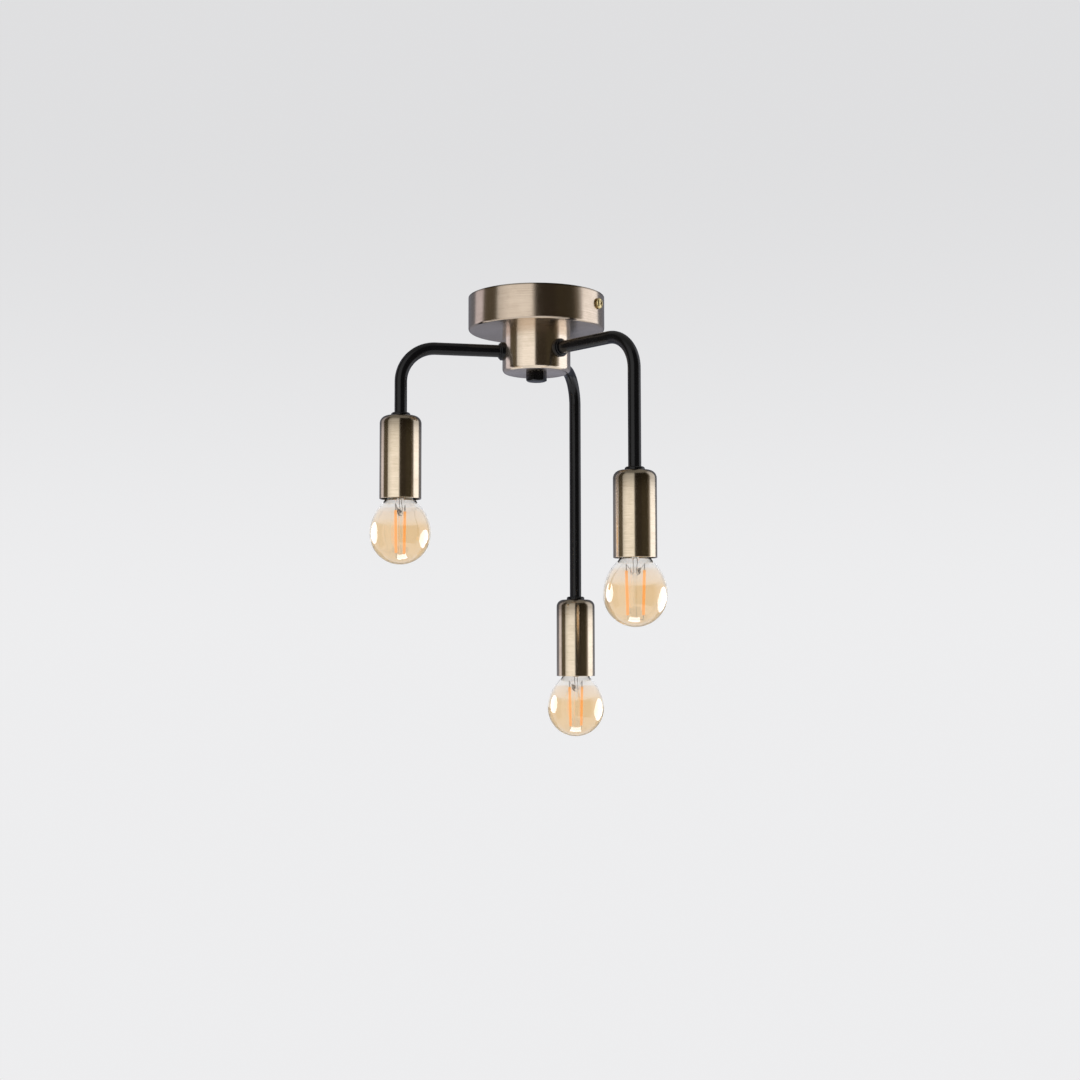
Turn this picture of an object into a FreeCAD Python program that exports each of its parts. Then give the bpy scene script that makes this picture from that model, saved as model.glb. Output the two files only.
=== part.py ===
import FreeCAD, Part
import math
import os

# A three-armed semi flush ceiling light. Everything is in millimetres.
# The origin is the centre of the ceiling face, +Z points up into the ceiling and the
# light hangs below it. +X runs along the ceiling bracket, through both side screws.

Vector = FreeCAD.Vector
X_AXIS = Vector(1, 0, 0)
Y_AXIS = Vector(0, 1, 0)
Z_AXIS = Vector(0, 0, 1)

# Fits between pieces
thread_clearance = 0.05
hole_clearance = 0.1
running_clearance = 0.08

# Canopy: a spun brass-plated cup, closed below and open to the ceiling
canopy_diameter = 100.0
canopy_height = 25.0
canopy_wall = 1.0
canopy_edge_radius = 2.0

# Ceiling bracket: a folded steel strap with a tab turned down at each end
strap_width = 20.0
strap_thickness = 1.5
strap_end_gap = 0.5
tab_depth = 14.0
strap_bend_radius = 2.0
ceiling_slot_width = 4.5
ceiling_slot_length = 12.0
ceiling_slot_spacing = 60.0
cable_entry_diameter = 11.0

# Side screws, which hold the canopy to the tabs
side_screw_diameter = 4.0
side_screw_length = 8.0
side_screw_head_diameter = 8.0
side_screw_head_height = 2.6
side_screw_head_rounding = 1.8
side_screw_depth = 9.0

# Earth screw in the strap
earth_screw_offset = 16.0
earth_screw_diameter = 3.5
earth_head_diameter = 7.0
earth_head_height = 2.2
earth_head_rounding = 1.1
earth_washer_diameter = 9.0
earth_washer_thickness = 0.8

# Hub: a deep turned cup that hangs under the canopy and holds the arms
hub_diameter = 50.0
hub_height = 31.0
hub_wall = 1.5
hub_edge_radius = 3.0

# Centre tube and the nuts that clamp canopy and hub together
centre_tube_diameter = 10.0
centre_tube_wall = 1.0
centre_tube_rise = 6.0
lock_washer_diameter = 16.0
lock_washer_thickness = 1.0
locknut_across_flats = 14.0
locknut_thickness = 3.5
cap_nut_across_flats = 14.2
cap_nut_height = 6.0
cap_nut_floor = 1.4
cap_nut_chamfer = 0.7
cap_nut_heading = -3.0

# Arms: round tube, level from the hub, then one bend straight down
arm_diameter = 9.0
arm_wall = 1.0
arm_reach = 100.0
arm_bend_radius = 25.0
first_arm_heading = -21.0
arm_spacing = 120.0

# How far below the ceiling the top of each lamp cup hangs
right_cup_depth = 136.0
back_cup_depth = 219.5
left_cup_depth = 90.5

# Arm fastenings at the hub
hub_collar_flange_diameter = 13.4
hub_collar_flange_length = 2.2
hub_collar_boss_diameter = 11.4
hub_collar_length = 3.2
hub_collar_rounding = 0.7
saddle_washer_diameter = 13.5
saddle_washer_thickness = 1.6
arm_nut_across_flats = 13.0
arm_nut_thickness = 3.0
arm_end_past_nut = 0.7

# Lamp cup and the collar above it
cup_height = 60.0
cup_wall = 1.0
cup_top_radius = 5.5
cup_collar_diameter = 13.8
cup_collar_height = 2.3
cup_collar_chamfer = 0.8

# Lampholder: black insulating body with a threaded brass shell and a sprung contact
holder_length = 50.0
holder_wall = 3.0
holder_top_rounding = 4.5
holder_neck_length = 7.0
holder_chamber_wall = 2.5
holder_chamber_length = 12.0
holder_partition = 4.0
holder_to_cup_gap = 1.5
holder_to_cap_gap = 0.9
arm_end_proud = 1.0
shell_wall = 0.4
shell_length = 20.0
shell_lip = 0.8
contact_drop = 5.0
contact_width = 4.0
contact_thickness = 0.4
contact_knee_rise = 0.6
contact_toe_rise = 0.4
contact_gap = 0.2
pin_inset = 1.95
pin_diameter = 2.4
terminal_width = 5.0
terminal_depth = 5.0
terminal_height = 6.0

# Cable inside each arm
cable_diameter = 3.4
core_diameter = 1.2
core_spread = 0.8
canopy_cable_bend = 6.0
cable_over_tube_gap = 0.8
sheath_past_arm = 2.5
grommet_wall = 1.0
grommet_flange = 0.95
grommet_flange_thickness = 0.8
grommet_to_washer_gap = 0.5

# Terminal block on the canopy's floor, clear of the strap and the ceiling screws
block_length = 26.0
block_width = 15.0
block_height = 13.5
block_centre_x = 4.0
block_centre_y = -27.5
block_pitch = 8.0
block_rounding = 1.0
clamp_width = 4.6
clamp_length = 9.6
clamp_height = 6.0
clamp_screw_diameter = 3.6
clamp_screw_height = 1.8
clamp_clearance = 0.2
clamp_well_depth = 9.0

# Bulb: golf-ball glass on a small screw cap
bulb_diameter = 44.0
bulb_length = 78.0
glass_wall = 0.8
neck_diameter = 16.0
neck_length = 0.9
neck_hollow_radius = 14.8
cap_diameter = 13.9
cap_wall = 0.3
cap_top_depth = 3.6
cap_top_chamfer = 1.0
cap_thread_length = 13.4
cap_flare_length = 4.0
cap_skirt_length = 3.0
cap_cement_gap = 0.3
insulator_lip_diameter = 8.4
insulator_top_depth = 1.4
insulator_length = 4.1
insulator_hole = 5.0
tip_length = 2.5
tip_rounding = 0.8

# Inside the glass, with heights measured from the centre of the ball
stem_flare_diameter = 13.6
stem_tube_diameter = 6.0
stem_tube_bore = 3.6
stem_flare_length = 4.0
stem_press_diameter = 7.5
stem_press_thickness = 4.0
stem_press_length = 5.0
stem_press_rounding = 1.0
stem_end_height = 13.4
rod_diameter = 2.4
rod_end_height = -16.0
filament_diameter = 2.0
filament_length = 30.4
filament_top_height = 16.4
filament_spread_top = 13.2
filament_spread_bottom = 11.4
filament_end_length = 3.0
lead_diameter = 0.7
lead_spread = 2.0
lead_tail_depth = 7.0
lead_end_length = 4.6
right_bulb_turn = 15.0
back_bulb_turn = -17.0
left_bulb_turn = 84.0

# Places worked out from the sizes above
canopy_floor = -canopy_height
canopy_inner_floor = canopy_floor + canopy_wall
hub_bottom = canopy_floor - hub_height
arm_height = (canopy_floor + hub_bottom) / 2
hub_radius = hub_diameter / 2
hub_inner_radius = hub_radius - hub_wall
tab_face = math.sqrt((canopy_diameter / 2 - canopy_wall) ** 2 - (strap_width / 2) ** 2) - strap_end_gap
screw_level = -side_screw_depth
arm_inner_end = hub_inner_radius - saddle_washer_thickness - arm_nut_thickness - arm_end_past_nut
grommet_body = cable_diameter / 2 + thread_clearance + grommet_wall
grommet_edge = grommet_body + grommet_flange
cable_riser_radius = lock_washer_diameter / 2 + grommet_to_washer_gap + grommet_edge
hub_cable_bend = arm_inner_end - cable_riser_radius
cable_level = canopy_inner_floor + centre_tube_rise + cable_over_tube_gap + cable_diameter / 2
cap_skirt_diameter = neck_diameter + 2 * (cap_cement_gap + cap_wall)
holder_bore = cap_skirt_diameter + 2 * holder_to_cap_gap
holder_diameter = holder_bore + 2 * holder_wall
cup_diameter = holder_diameter + 2 * (holder_to_cup_gap + cup_wall)
cup_inner_top = -cup_wall
chamber_top = cup_inner_top - holder_neck_length
chamber_floor = chamber_top - holder_chamber_length
partition_face = chamber_floor - holder_partition
arm_end_level = chamber_top - arm_end_proud
sheath_end_level = arm_end_level - sheath_past_arm
pin_offset = cap_diameter / 2 - pin_inset
tip_level = partition_face - contact_drop
bulb_centre = tip_level - bulb_length + bulb_diameter / 2
insulator_level = tip_level - insulator_top_depth
cap_level = tip_level - cap_top_depth
cap_bottom = cap_level - cap_top_chamfer - cap_thread_length - cap_flare_length - cap_skirt_length
block_top = canopy_inner_floor + block_height
block_near_face = block_centre_y + block_width / 2
stem_end = bulb_centre + stem_end_height
press_top = stem_end + stem_press_length
filament_top = bulb_centre + filament_top_height
filament_bottom = filament_top - filament_length
arms = (
    ("right", first_arm_heading, right_cup_depth, right_bulb_turn),
    ("back", first_arm_heading + arm_spacing, back_cup_depth, back_bulb_turn),
    ("left", first_arm_heading + 2 * arm_spacing, left_cup_depth, left_bulb_turn),
)


def save(name, *solids):
    """Write one piece, or one group of like pieces, as its own file."""
    shape = solids[0] if len(solids) == 1 else Part.makeCompound(list(solids))
    shape.exportStep(f"parts/{name}.step")


def rounded_outline(corners):
    """Closed wire in the XZ plane. Each corner is (x, z) or (x, z, rounding radius)."""
    points = [Vector(corner[0], 0, corner[1]) for corner in corners]
    radii = [corner[2] if len(corner) > 2 else 0 for corner in corners]
    starts = []
    ends = []
    middles = []
    for index, point in enumerate(points):
        to_last = (points[index - 1] - point).normalize()
        to_next = (points[(index + 1) % len(points)] - point).normalize()
        half_angle = to_last.getAngle(to_next) / 2
        setback = radii[index] / math.tan(half_angle)
        to_centre = (to_last + to_next).normalize() if radii[index] else Vector()
        starts.append(point + to_last * setback)
        ends.append(point + to_next * setback)
        middles.append(point + to_centre * radii[index] * (1 / math.sin(half_angle) - 1))
    edges = []
    for index, radius in enumerate(radii):
        if radius:
            edges.append(Part.Arc(starts[index], middles[index], ends[index]).toShape())
        following = starts[(index + 1) % len(points)]
        if (following - ends[index]).Length > 1e-6:
            edges.append(Part.LineSegment(ends[index], following).toShape())
    return Part.Wire(edges)


def turned(corners):
    """Solid turned about the Z axis from an outline of (radius, height[, rounding])."""
    return Part.Face(rounded_outline(corners)).revolve(Vector(), Z_AXIS, 360)


def ring(inner_radius, outer_radius, bottom, top):
    """Plain ring about the Z axis."""
    return turned(((inner_radius, bottom), (outer_radius, bottom), (outer_radius, top), (inner_radius, top)))


def rod(radius, start, end):
    """Round bar between two points."""
    return Part.makeCylinder(radius, (end - start).Length, start, end - start)


def hexagon(across_flats, bottom, top, heading):
    """Hexagonal bar about the Z axis with one corner at the given heading."""
    corner_radius = across_flats / math.sqrt(3)
    angles = [math.radians(heading + 60 * side) for side in range(7)]
    corners = [Vector(corner_radius * math.cos(a), corner_radius * math.sin(a), bottom) for a in angles]
    return Part.Face(Part.makePolygon(corners)).extrude(Vector(0, 0, top - bottom))


def bent_bar(radius, points, bends):
    """Round bar along straight runs joined by tangent arcs, one bend radius per corner."""
    edges = []
    start = points[0]
    for before, corner, after, bend in zip(points, points[1:], points[2:], bends):
        run_in = (corner - before).normalize()
        run_out = (after - corner).normalize()
        half_turn = run_in.getAngle(run_out) / 2
        arc_start = corner - run_in * bend * math.tan(half_turn)
        arc_end = corner + run_out * bend * math.tan(half_turn)
        inward = (run_out - run_in).normalize()
        arc_middle = corner + inward * bend * (1 / math.cos(half_turn) - 1)
        edges.append(Part.LineSegment(start, arc_start).toShape())
        edges.append(Part.Arc(arc_start, arc_middle, arc_end).toShape())
        start = arc_end
    edges.append(Part.LineSegment(start, points[-1]).toShape())
    section = Part.Wire([Part.Circle(points[0], points[1] - points[0], radius).toShape()])
    return Part.Wire(edges).makePipeShell([section], True, False)


def about_z(shape, heading):
    """The shape turned about the Z axis by a heading in degrees."""
    return shape.rotated(Vector(), Z_AXIS, heading)


def along_arm(shape, heading):
    """A shape turned about Z, laid along its arm: its +Z end points outward at arm height."""
    laid = shape.rotated(Vector(), Y_AXIS, 90)
    return about_z(laid.translated(Vector(0, 0, arm_height)), heading)


def at_cup(shape, heading, cup_depth, turn=0.0):
    """A shape built about its cup's top centre, hung in its place at the end of an arm."""
    place = Vector(arm_reach, 0, -cup_depth)
    return about_z(about_z(shape, turn).translated(place), heading)


def make_bracket():
    """Folded strap with slots for the ceiling screws, a cable entry and two tapped tabs."""
    inner_face = tab_face - strap_thickness
    inner_bend = strap_bend_radius - strap_thickness
    profile = rounded_outline((
        (-tab_face, 0, strap_bend_radius),
        (tab_face, 0, strap_bend_radius),
        (tab_face, -tab_depth),
        (inner_face, -tab_depth),
        (inner_face, -strap_thickness, inner_bend),
        (-inner_face, -strap_thickness, inner_bend),
        (-inner_face, -tab_depth),
        (-tab_face, -tab_depth),
    ))
    strap = Part.Face(profile).extrude(Vector(0, strap_width, 0)).translated(Vector(0, -strap_width / 2, 0))
    below = Vector(0, 0, -2 * strap_thickness)
    through = 3 * strap_thickness
    cuts = [Part.makeCylinder(cable_entry_diameter / 2, through, below)]
    earth_hole = earth_screw_diameter / 2 + thread_clearance
    cuts.append(Part.makeCylinder(earth_hole, through, below - X_AXIS * earth_screw_offset))
    straight = ceiling_slot_length - ceiling_slot_width
    for side in (-1, 1):
        middle = below + X_AXIS * side * ceiling_slot_spacing / 2
        for end in (-1, 1):
            end_centre = middle + X_AXIS * end * straight / 2
            cuts.append(Part.makeCylinder(ceiling_slot_width / 2, through, end_centre))
        corner = middle - Vector(straight / 2, ceiling_slot_width / 2, 0)
        cuts.append(Part.makeBox(straight, ceiling_slot_width, through, corner))
        hole = side_screw_diameter / 2 + thread_clearance
        cuts.append(Part.makeCylinder(hole, canopy_diameter / 2, Vector(0, 0, screw_level), X_AXIS * side))
    save("ceiling_bracket", strap.cut(cuts).removeSplitter())


def make_earth_screw():
    """Pan head screw with a washer under it, tapped into the strap from below."""
    washer_bottom = -strap_thickness - earth_washer_thickness
    screw = turned((
        (0, -thread_clearance),
        (earth_screw_diameter / 2, -thread_clearance),
        (earth_screw_diameter / 2, washer_bottom),
        (earth_head_diameter / 2, washer_bottom),
        (earth_head_diameter / 2, washer_bottom - earth_head_height, earth_head_rounding),
        (0, washer_bottom - earth_head_height),
    ))
    hole = earth_screw_diameter / 2 + thread_clearance
    washer = ring(hole, earth_washer_diameter / 2, washer_bottom, -strap_thickness)
    place = X_AXIS * -earth_screw_offset
    save("earth_screw", screw.translated(place), washer.translated(place))


def make_canopy():
    """Open cup with a rounded lower edge, holed for the centre tube, cables and side screws."""
    outer = canopy_diameter / 2
    inner = outer - canopy_wall
    inner_rounding = canopy_edge_radius - canopy_wall
    cup = turned((
        (0, canopy_floor),
        (outer, canopy_floor, canopy_edge_radius),
        (outer, 0),
        (inner, 0),
        (inner, canopy_inner_floor, inner_rounding),
        (0, canopy_inner_floor),
    ))
    below = Vector(0, 0, canopy_floor - canopy_wall)
    through = 3 * canopy_wall
    cuts = [Part.makeCylinder(centre_tube_diameter / 2 + hole_clearance, through, below)]
    riser = Part.makeCylinder(grommet_body + hole_clearance, through, below + X_AXIS * cable_riser_radius)
    cuts += [about_z(riser, heading) for _, heading, _, _ in arms]
    screw_hole = side_screw_diameter / 2 + 2 * hole_clearance
    for side in (-1, 1):
        cuts.append(Part.makeCylinder(screw_hole, canopy_diameter, Vector(0, 0, screw_level), X_AXIS * side))
    save("ceiling_canopy", cup.cut(cuts))


def make_side_screws():
    """Two pan head screws through the canopy's wall into the bracket's tabs."""
    head = side_screw_head_diameter / 2
    screw = turned((
        (0, -side_screw_length),
        (side_screw_diameter / 2, -side_screw_length),
        (side_screw_diameter / 2, 0),
        (head, 0),
        (head, side_screw_head_height, side_screw_head_rounding),
        (0, side_screw_head_height),
    ))
    laid = screw.rotated(Vector(), Y_AXIS, 90).translated(Vector(canopy_diameter / 2, 0, screw_level))
    save("canopy_side_screws", laid, about_z(laid, 180))


def make_hub():
    """Turned cup with a rounded lower edge, one hole below and one for each arm."""
    cup = turned((
        (0, hub_bottom),
        (hub_radius, hub_bottom, hub_edge_radius),
        (hub_radius, canopy_floor),
        (hub_inner_radius, canopy_floor),
        (hub_inner_radius, hub_bottom + hub_wall, hub_edge_radius - hub_wall),
        (0, hub_bottom + hub_wall),
    ))
    tube_hole = centre_tube_diameter / 2 + hole_clearance
    cuts = [Part.makeCylinder(tube_hole, 3 * hub_wall, Vector(0, 0, hub_bottom - hub_wall))]
    arm_hole = Part.makeCylinder(arm_diameter / 2 + hole_clearance, hub_diameter)
    cuts += [along_arm(arm_hole, heading) for _, heading, _, _ in arms]
    save("hub", cup.cut(cuts))


def make_centre_clamp():
    """Threaded centre tube, the washer and locknut on it inside the canopy, and the cap nut below."""
    tube_radius = centre_tube_diameter / 2
    washer_top = canopy_inner_floor + lock_washer_thickness
    nut_hole = tube_radius + thread_clearance
    tube_end = hub_bottom - cap_nut_height + cap_nut_floor + thread_clearance
    tube = ring(tube_radius - centre_tube_wall, tube_radius, tube_end, canopy_inner_floor + centre_tube_rise)
    save("centre_tube", tube)
    washer = ring(tube_radius + hole_clearance, lock_washer_diameter / 2, canopy_inner_floor, washer_top)
    save("canopy_lock_washer", washer)
    locknut = hexagon(locknut_across_flats, washer_top, washer_top + locknut_thickness, 0)
    locknut_bore = Part.makeCylinder(nut_hole, locknut_thickness, Vector(0, 0, washer_top))
    save("canopy_locknut", locknut.cut(locknut_bore))
    nut_bottom = hub_bottom - cap_nut_height
    cap_nut = hexagon(cap_nut_across_flats, nut_bottom, hub_bottom, cap_nut_heading)
    corner_radius = cap_nut_across_flats / math.sqrt(3)
    turned_end = turned((
        (0, nut_bottom),
        (cap_nut_across_flats / 2 - cap_nut_chamfer / 2, nut_bottom),
        (corner_radius, nut_bottom + cap_nut_chamfer),
        (corner_radius, hub_bottom),
        (0, hub_bottom),
    ))
    bore = Part.makeCylinder(nut_hole, cap_nut_height, Vector(0, 0, nut_bottom + cap_nut_floor))
    save("hub_cap_nut", cap_nut.common(turned_end).cut(bore))


def make_arm_tube(name, heading, cup_depth):
    """Bent tube from inside the hub, out level and down into the lampholder."""
    route = (
        Vector(arm_inner_end, 0, arm_height),
        Vector(arm_reach, 0, arm_height),
        Vector(arm_reach, 0, arm_end_level - cup_depth),
    )
    tube = bent_bar(arm_diameter / 2, route, (arm_bend_radius,))
    bore = bent_bar(arm_diameter / 2 - arm_wall, route, (arm_bend_radius,))
    save(f"arm_tube_{name}", about_z(tube.cut(bore), heading))


def make_hub_collar(name, heading):
    """Stepped round collar on the arm, its inner face hollowed to sit on the hub's wall."""
    flange = hub_collar_flange_diameter / 2
    boss = hub_collar_boss_diameter / 2
    bore = arm_diameter / 2 + thread_clearance
    flange_end = hub_radius + hub_collar_flange_length
    collar = turned((
        (bore, hub_inner_radius),
        (flange, hub_inner_radius),
        (flange, flange_end, hub_collar_rounding),
        (boss, flange_end),
        (boss, hub_radius + hub_collar_length, hub_collar_rounding),
        (bore, hub_radius + hub_collar_length),
    ))
    hub_envelope = Part.makeCylinder(hub_radius, hub_height, Vector(0, 0, hub_bottom))
    save(f"hub_collar_{name}", along_arm(collar, heading).cut(hub_envelope))


def make_arm_nuts():
    """Inside the hub: a saddle washer against the wall and a hexagon nut on each arm's end."""
    washer_face = hub_inner_radius - saddle_washer_thickness
    bore = arm_diameter / 2 + thread_clearance
    washer = ring(bore, saddle_washer_diameter / 2, washer_face, hub_radius)
    nut = hexagon(arm_nut_across_flats, washer_face - arm_nut_thickness, washer_face, 0)
    nut = nut.cut(Part.makeCylinder(bore, hub_radius))
    hub_space = Part.makeCylinder(hub_inner_radius, hub_height, Vector(0, 0, hub_bottom))
    headings = [heading for _, heading, _, _ in arms]
    save("hub_saddle_washers", *[along_arm(washer, heading).common(hub_space) for heading in headings])
    save("hub_locknuts", *[along_arm(nut, heading) for heading in headings])


def make_lamp_cup(name, heading, cup_depth):
    """Deep drawn cup, open below, with a generous top radius and a hole for the arm."""
    outer = cup_diameter / 2
    inner = outer - cup_wall
    hole = arm_diameter / 2 + hole_clearance
    cup = turned((
        (hole, 0),
        (outer, 0, cup_top_radius),
        (outer, -cup_height),
        (inner, -cup_height),
        (inner, cup_inner_top, cup_top_radius - cup_wall),
        (hole, cup_inner_top),
    ))
    save(f"lamp_cup_{name}", at_cup(cup, heading, cup_depth))


def make_cup_collar(name, heading, cup_depth):
    """Chamfered ring screwed on the arm above the cup, which it clamps to the lampholder."""
    bore = arm_diameter / 2 + thread_clearance
    outer = cup_collar_diameter / 2
    collar = turned((
        (bore, 0),
        (outer, 0),
        (outer, cup_collar_height - cup_collar_chamfer),
        (outer - cup_collar_chamfer, cup_collar_height),
        (bore, cup_collar_height),
    ))
    save(f"cup_collar_{name}", at_cup(collar, heading, cup_depth))


def make_lampholder(name, heading, cup_depth):
    """Insulating body with a terminal chamber above a partition and the cap's bore below."""
    outer = holder_diameter / 2
    neck = arm_diameter / 2 + thread_clearance
    chamber = outer - holder_chamber_wall
    mouth = cup_inner_top - holder_length
    body = turned((
        (neck, cup_inner_top),
        (outer, cup_inner_top, holder_top_rounding),
        (outer, mouth),
        (holder_bore / 2, mouth),
        (holder_bore / 2, partition_face),
        (0, partition_face),
        (0, chamber_floor),
        (chamber, chamber_floor),
        (chamber, chamber_top),
        (neck, chamber_top),
    ))
    pin_hole = pin_diameter / 2 + thread_clearance
    holes = []
    for side in (-1, 1):
        start = Vector(0, side * pin_offset, partition_face - holder_partition)
        holes.append(Part.makeCylinder(pin_hole, 3 * holder_partition, start))
    save(f"lampholder_body_{name}", at_cup(body.cut(holes), heading, cup_depth))


def make_screw_shell(name, heading, cup_depth):
    """Thin brass shell that takes the bulb's cap, with a tag that meets one terminal pin."""
    inner = cap_diameter / 2 + running_clearance
    outer = inner + shell_wall
    bottom = partition_face - shell_length
    contact_corner = math.hypot(pin_offset + pin_diameter / 2, contact_width / 2)
    flange_inner = contact_corner + hole_clearance
    shell = turned((
        (flange_inner, partition_face),
        (outer, partition_face),
        (outer, bottom + shell_wall),
        (outer + shell_lip, bottom + shell_wall),
        (outer + shell_lip, bottom),
        (inner, bottom),
        (inner, partition_face - shell_wall),
        (flange_inner, partition_face - shell_wall),
    ))
    tag_root = inner + shell_wall / 2
    tag_length = tag_root - pin_offset + pin_diameter / 2
    tag_corner = Vector(-contact_width / 2, -tag_root, partition_face - shell_wall)
    tag = Part.makeBox(contact_width, tag_length, shell_wall, tag_corner)
    save(f"lampholder_shell_{name}", at_cup(shell.fuse(tag).removeSplitter(), heading, cup_depth))


def make_centre_contact(name, heading, cup_depth):
    """Bent spring blade from the other terminal pin down to the bulb's tip."""
    lowest = tip_level + contact_gap
    root_end = pin_offset + pin_diameter / 2
    fold = pin_offset - pin_diameter / 2 - contact_thickness
    thickness = contact_thickness
    corners = (
        (root_end, partition_face),
        (fold, partition_face),
        (-thickness, lowest + contact_knee_rise),
        (-contact_width / 2, lowest + thickness + contact_toe_rise),
        (-contact_width / 2, lowest + contact_toe_rise),
        (0, lowest),
        (fold + thickness, partition_face - thickness),
        (root_end, partition_face - thickness),
    )
    blade = Part.Face(rounded_outline(corners)).extrude(Vector(0, contact_width, 0))
    blade = about_z(blade.translated(Vector(0, -contact_width / 2, 0)), 90)
    save(f"lampholder_contact_{name}", at_cup(blade, heading, cup_depth))


def terminal_pair():
    """Two brass terminals in a lampholder's chamber, each with a pin through the partition."""
    pair = []
    for side in (-1, 1):
        corner = Vector(-terminal_depth / 2, side * pin_offset - terminal_width / 2, chamber_floor)
        terminal = Part.makeBox(terminal_depth, terminal_width, terminal_height, corner)
        pin_end = Vector(0, side * pin_offset, partition_face)
        pin = Part.makeCylinder(pin_diameter / 2, holder_partition, pin_end)
        pair.append(terminal.fuse(pin).removeSplitter())
    return pair


def make_terminals():
    """The terminals of all three lampholders."""
    pieces = []
    for _, heading, cup_depth, _ in arms:
        pieces += [at_cup(terminal, heading, cup_depth) for terminal in terminal_pair()]
    save("lampholder_terminals", *pieces)


def make_cable(name, heading, cup_depth, entry):
    """Two-core cable from the lampholder's terminals through the arm to the terminal block."""
    plane_points = (
        Vector(arm_reach, 0, sheath_end_level - cup_depth),
        Vector(arm_reach, 0, arm_height),
        Vector(cable_riser_radius, 0, arm_height),
        Vector(cable_riser_radius, 0, cable_level),
    )
    turn = FreeCAD.Rotation(Z_AXIS, heading)
    points = [turn.multVec(point) for point in plane_points]
    points.append(Vector(entry, block_near_face - canopy_cable_bend, cable_level))
    bends = (arm_bend_radius, hub_cable_bend, canopy_cable_bend)
    sheath = bent_bar(cable_diameter / 2, points, bends)
    block_space = Part.makeBox(
        canopy_diameter, canopy_diameter, canopy_height,
        Vector(-canopy_diameter / 2, block_near_face - canopy_diameter, canopy_floor),
    )
    sheath = sheath.cut(block_space)
    terminal_top = chamber_floor + terminal_height
    cores = []
    for side in (-1, 1):
        start = Vector(0, side * core_spread, sheath_end_level + core_diameter)
        end = Vector(0, side * pin_offset, terminal_top - core_diameter)
        core = rod(core_diameter / 2, start, end)
        space = Part.makeBox(
            holder_diameter, holder_diameter, holder_length,
            Vector(-holder_diameter / 2, -holder_diameter / 2, terminal_top),
        )
        cores.append(at_cup(core.common(space), heading, cup_depth))
    save(f"arm_cable_{name}", sheath.fuse(cores).removeSplitter())


def make_grommets():
    """Flanged bushes that guard the cables where they pass the canopy's floor."""
    bore = cable_diameter / 2 + thread_clearance
    grommet = turned((
        (bore, canopy_floor - grommet_flange_thickness),
        (grommet_edge, canopy_floor - grommet_flange_thickness),
        (grommet_edge, canopy_floor),
        (grommet_body, canopy_floor),
        (grommet_body, canopy_inner_floor),
        (grommet_edge, canopy_inner_floor),
        (grommet_edge, canopy_inner_floor + grommet_flange_thickness),
        (bore, canopy_inner_floor + grommet_flange_thickness),
    )).translated(X_AXIS * cable_riser_radius)
    save("cable_grommets", *[about_z(grommet, heading) for _, heading, _, _ in arms])


def make_terminal_block():
    """Three-pole block with a well for each brass clamp, and the clamps with their screws."""
    corner = Vector(block_centre_x - block_length / 2, block_near_face - block_width, canopy_inner_floor)
    block = Part.makeBox(block_length, block_width, block_height, corner)
    upright = [edge for edge in block.Edges if edge.BoundBox.ZLength > block_rounding]
    block = block.makeFillet(block_rounding, upright)
    well_floor = block_top - clamp_well_depth
    wells = []
    clamps = []
    for pole in (-1, 0, 1):
        centre = Vector(block_centre_x + pole * block_pitch, block_centre_y, well_floor)
        half = Vector(clamp_width / 2, clamp_length / 2, 0)
        clamp = Part.makeBox(clamp_width, clamp_length, clamp_height, centre - half)
        screw = Part.makeCylinder(clamp_screw_diameter / 2, clamp_height + clamp_screw_height, centre)
        clamps.append(clamp.fuse(screw).removeSplitter())
        room = Vector(clamp_clearance, clamp_clearance, 0)
        wells.append(Part.makeBox(
            clamp_width + 2 * clamp_clearance, clamp_length + 2 * clamp_clearance,
            clamp_well_depth, centre - half - room,
        ))
    save("terminal_block", block.cut(wells))
    save("terminal_clamps", *clamps)


def envelope_outline(offset):
    """Glass profile from bottom to neck, moved inward by an offset, as arcs on the XZ plane.

    The ball runs up to its equator. Above it a shoulder arc and a hollow arc, tangent to
    the ball, to each other and to the neck, share the height that is left.
    """
    neck_start = cap_bottom + cap_skirt_length - neck_length
    rise = neck_start - bulb_centre
    step_in = (bulb_diameter - neck_diameter) / 2
    both_radii = (rise ** 2 + step_in ** 2) / (2 * step_in)
    shoulder = both_radii - neck_hollow_radius
    angle = math.atan2(rise, both_radii - step_in)
    shoulder_centre = bulb_diameter / 2 - shoulder
    hollow_centre = neck_diameter / 2 + neck_hollow_radius

    def on_arc(centre_radius, centre_height, radius, turn):
        return Vector(centre_radius + radius * math.cos(turn), 0, centre_height + radius * math.sin(turn))

    ball = bulb_diameter / 2 - offset
    inner_shoulder = shoulder - offset
    bottom = on_arc(0, bulb_centre, ball, -math.pi / 2)
    low_side = on_arc(0, bulb_centre, ball, -math.pi / 4)
    equator = on_arc(0, bulb_centre, ball, 0)
    on_shoulder = on_arc(shoulder_centre, bulb_centre, inner_shoulder, angle / 2)
    joint = on_arc(shoulder_centre, bulb_centre, inner_shoulder, angle)
    in_hollow = on_arc(hollow_centre, neck_start, neck_hollow_radius + offset, math.pi + angle / 2)
    neck = Vector(neck_diameter / 2 - offset, 0, neck_start)
    arcs = ((bottom, low_side, equator), (equator, on_shoulder, joint), (joint, in_hollow, neck))
    return [Part.Arc(*arc).toShape() for arc in arcs], bottom, neck


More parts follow.
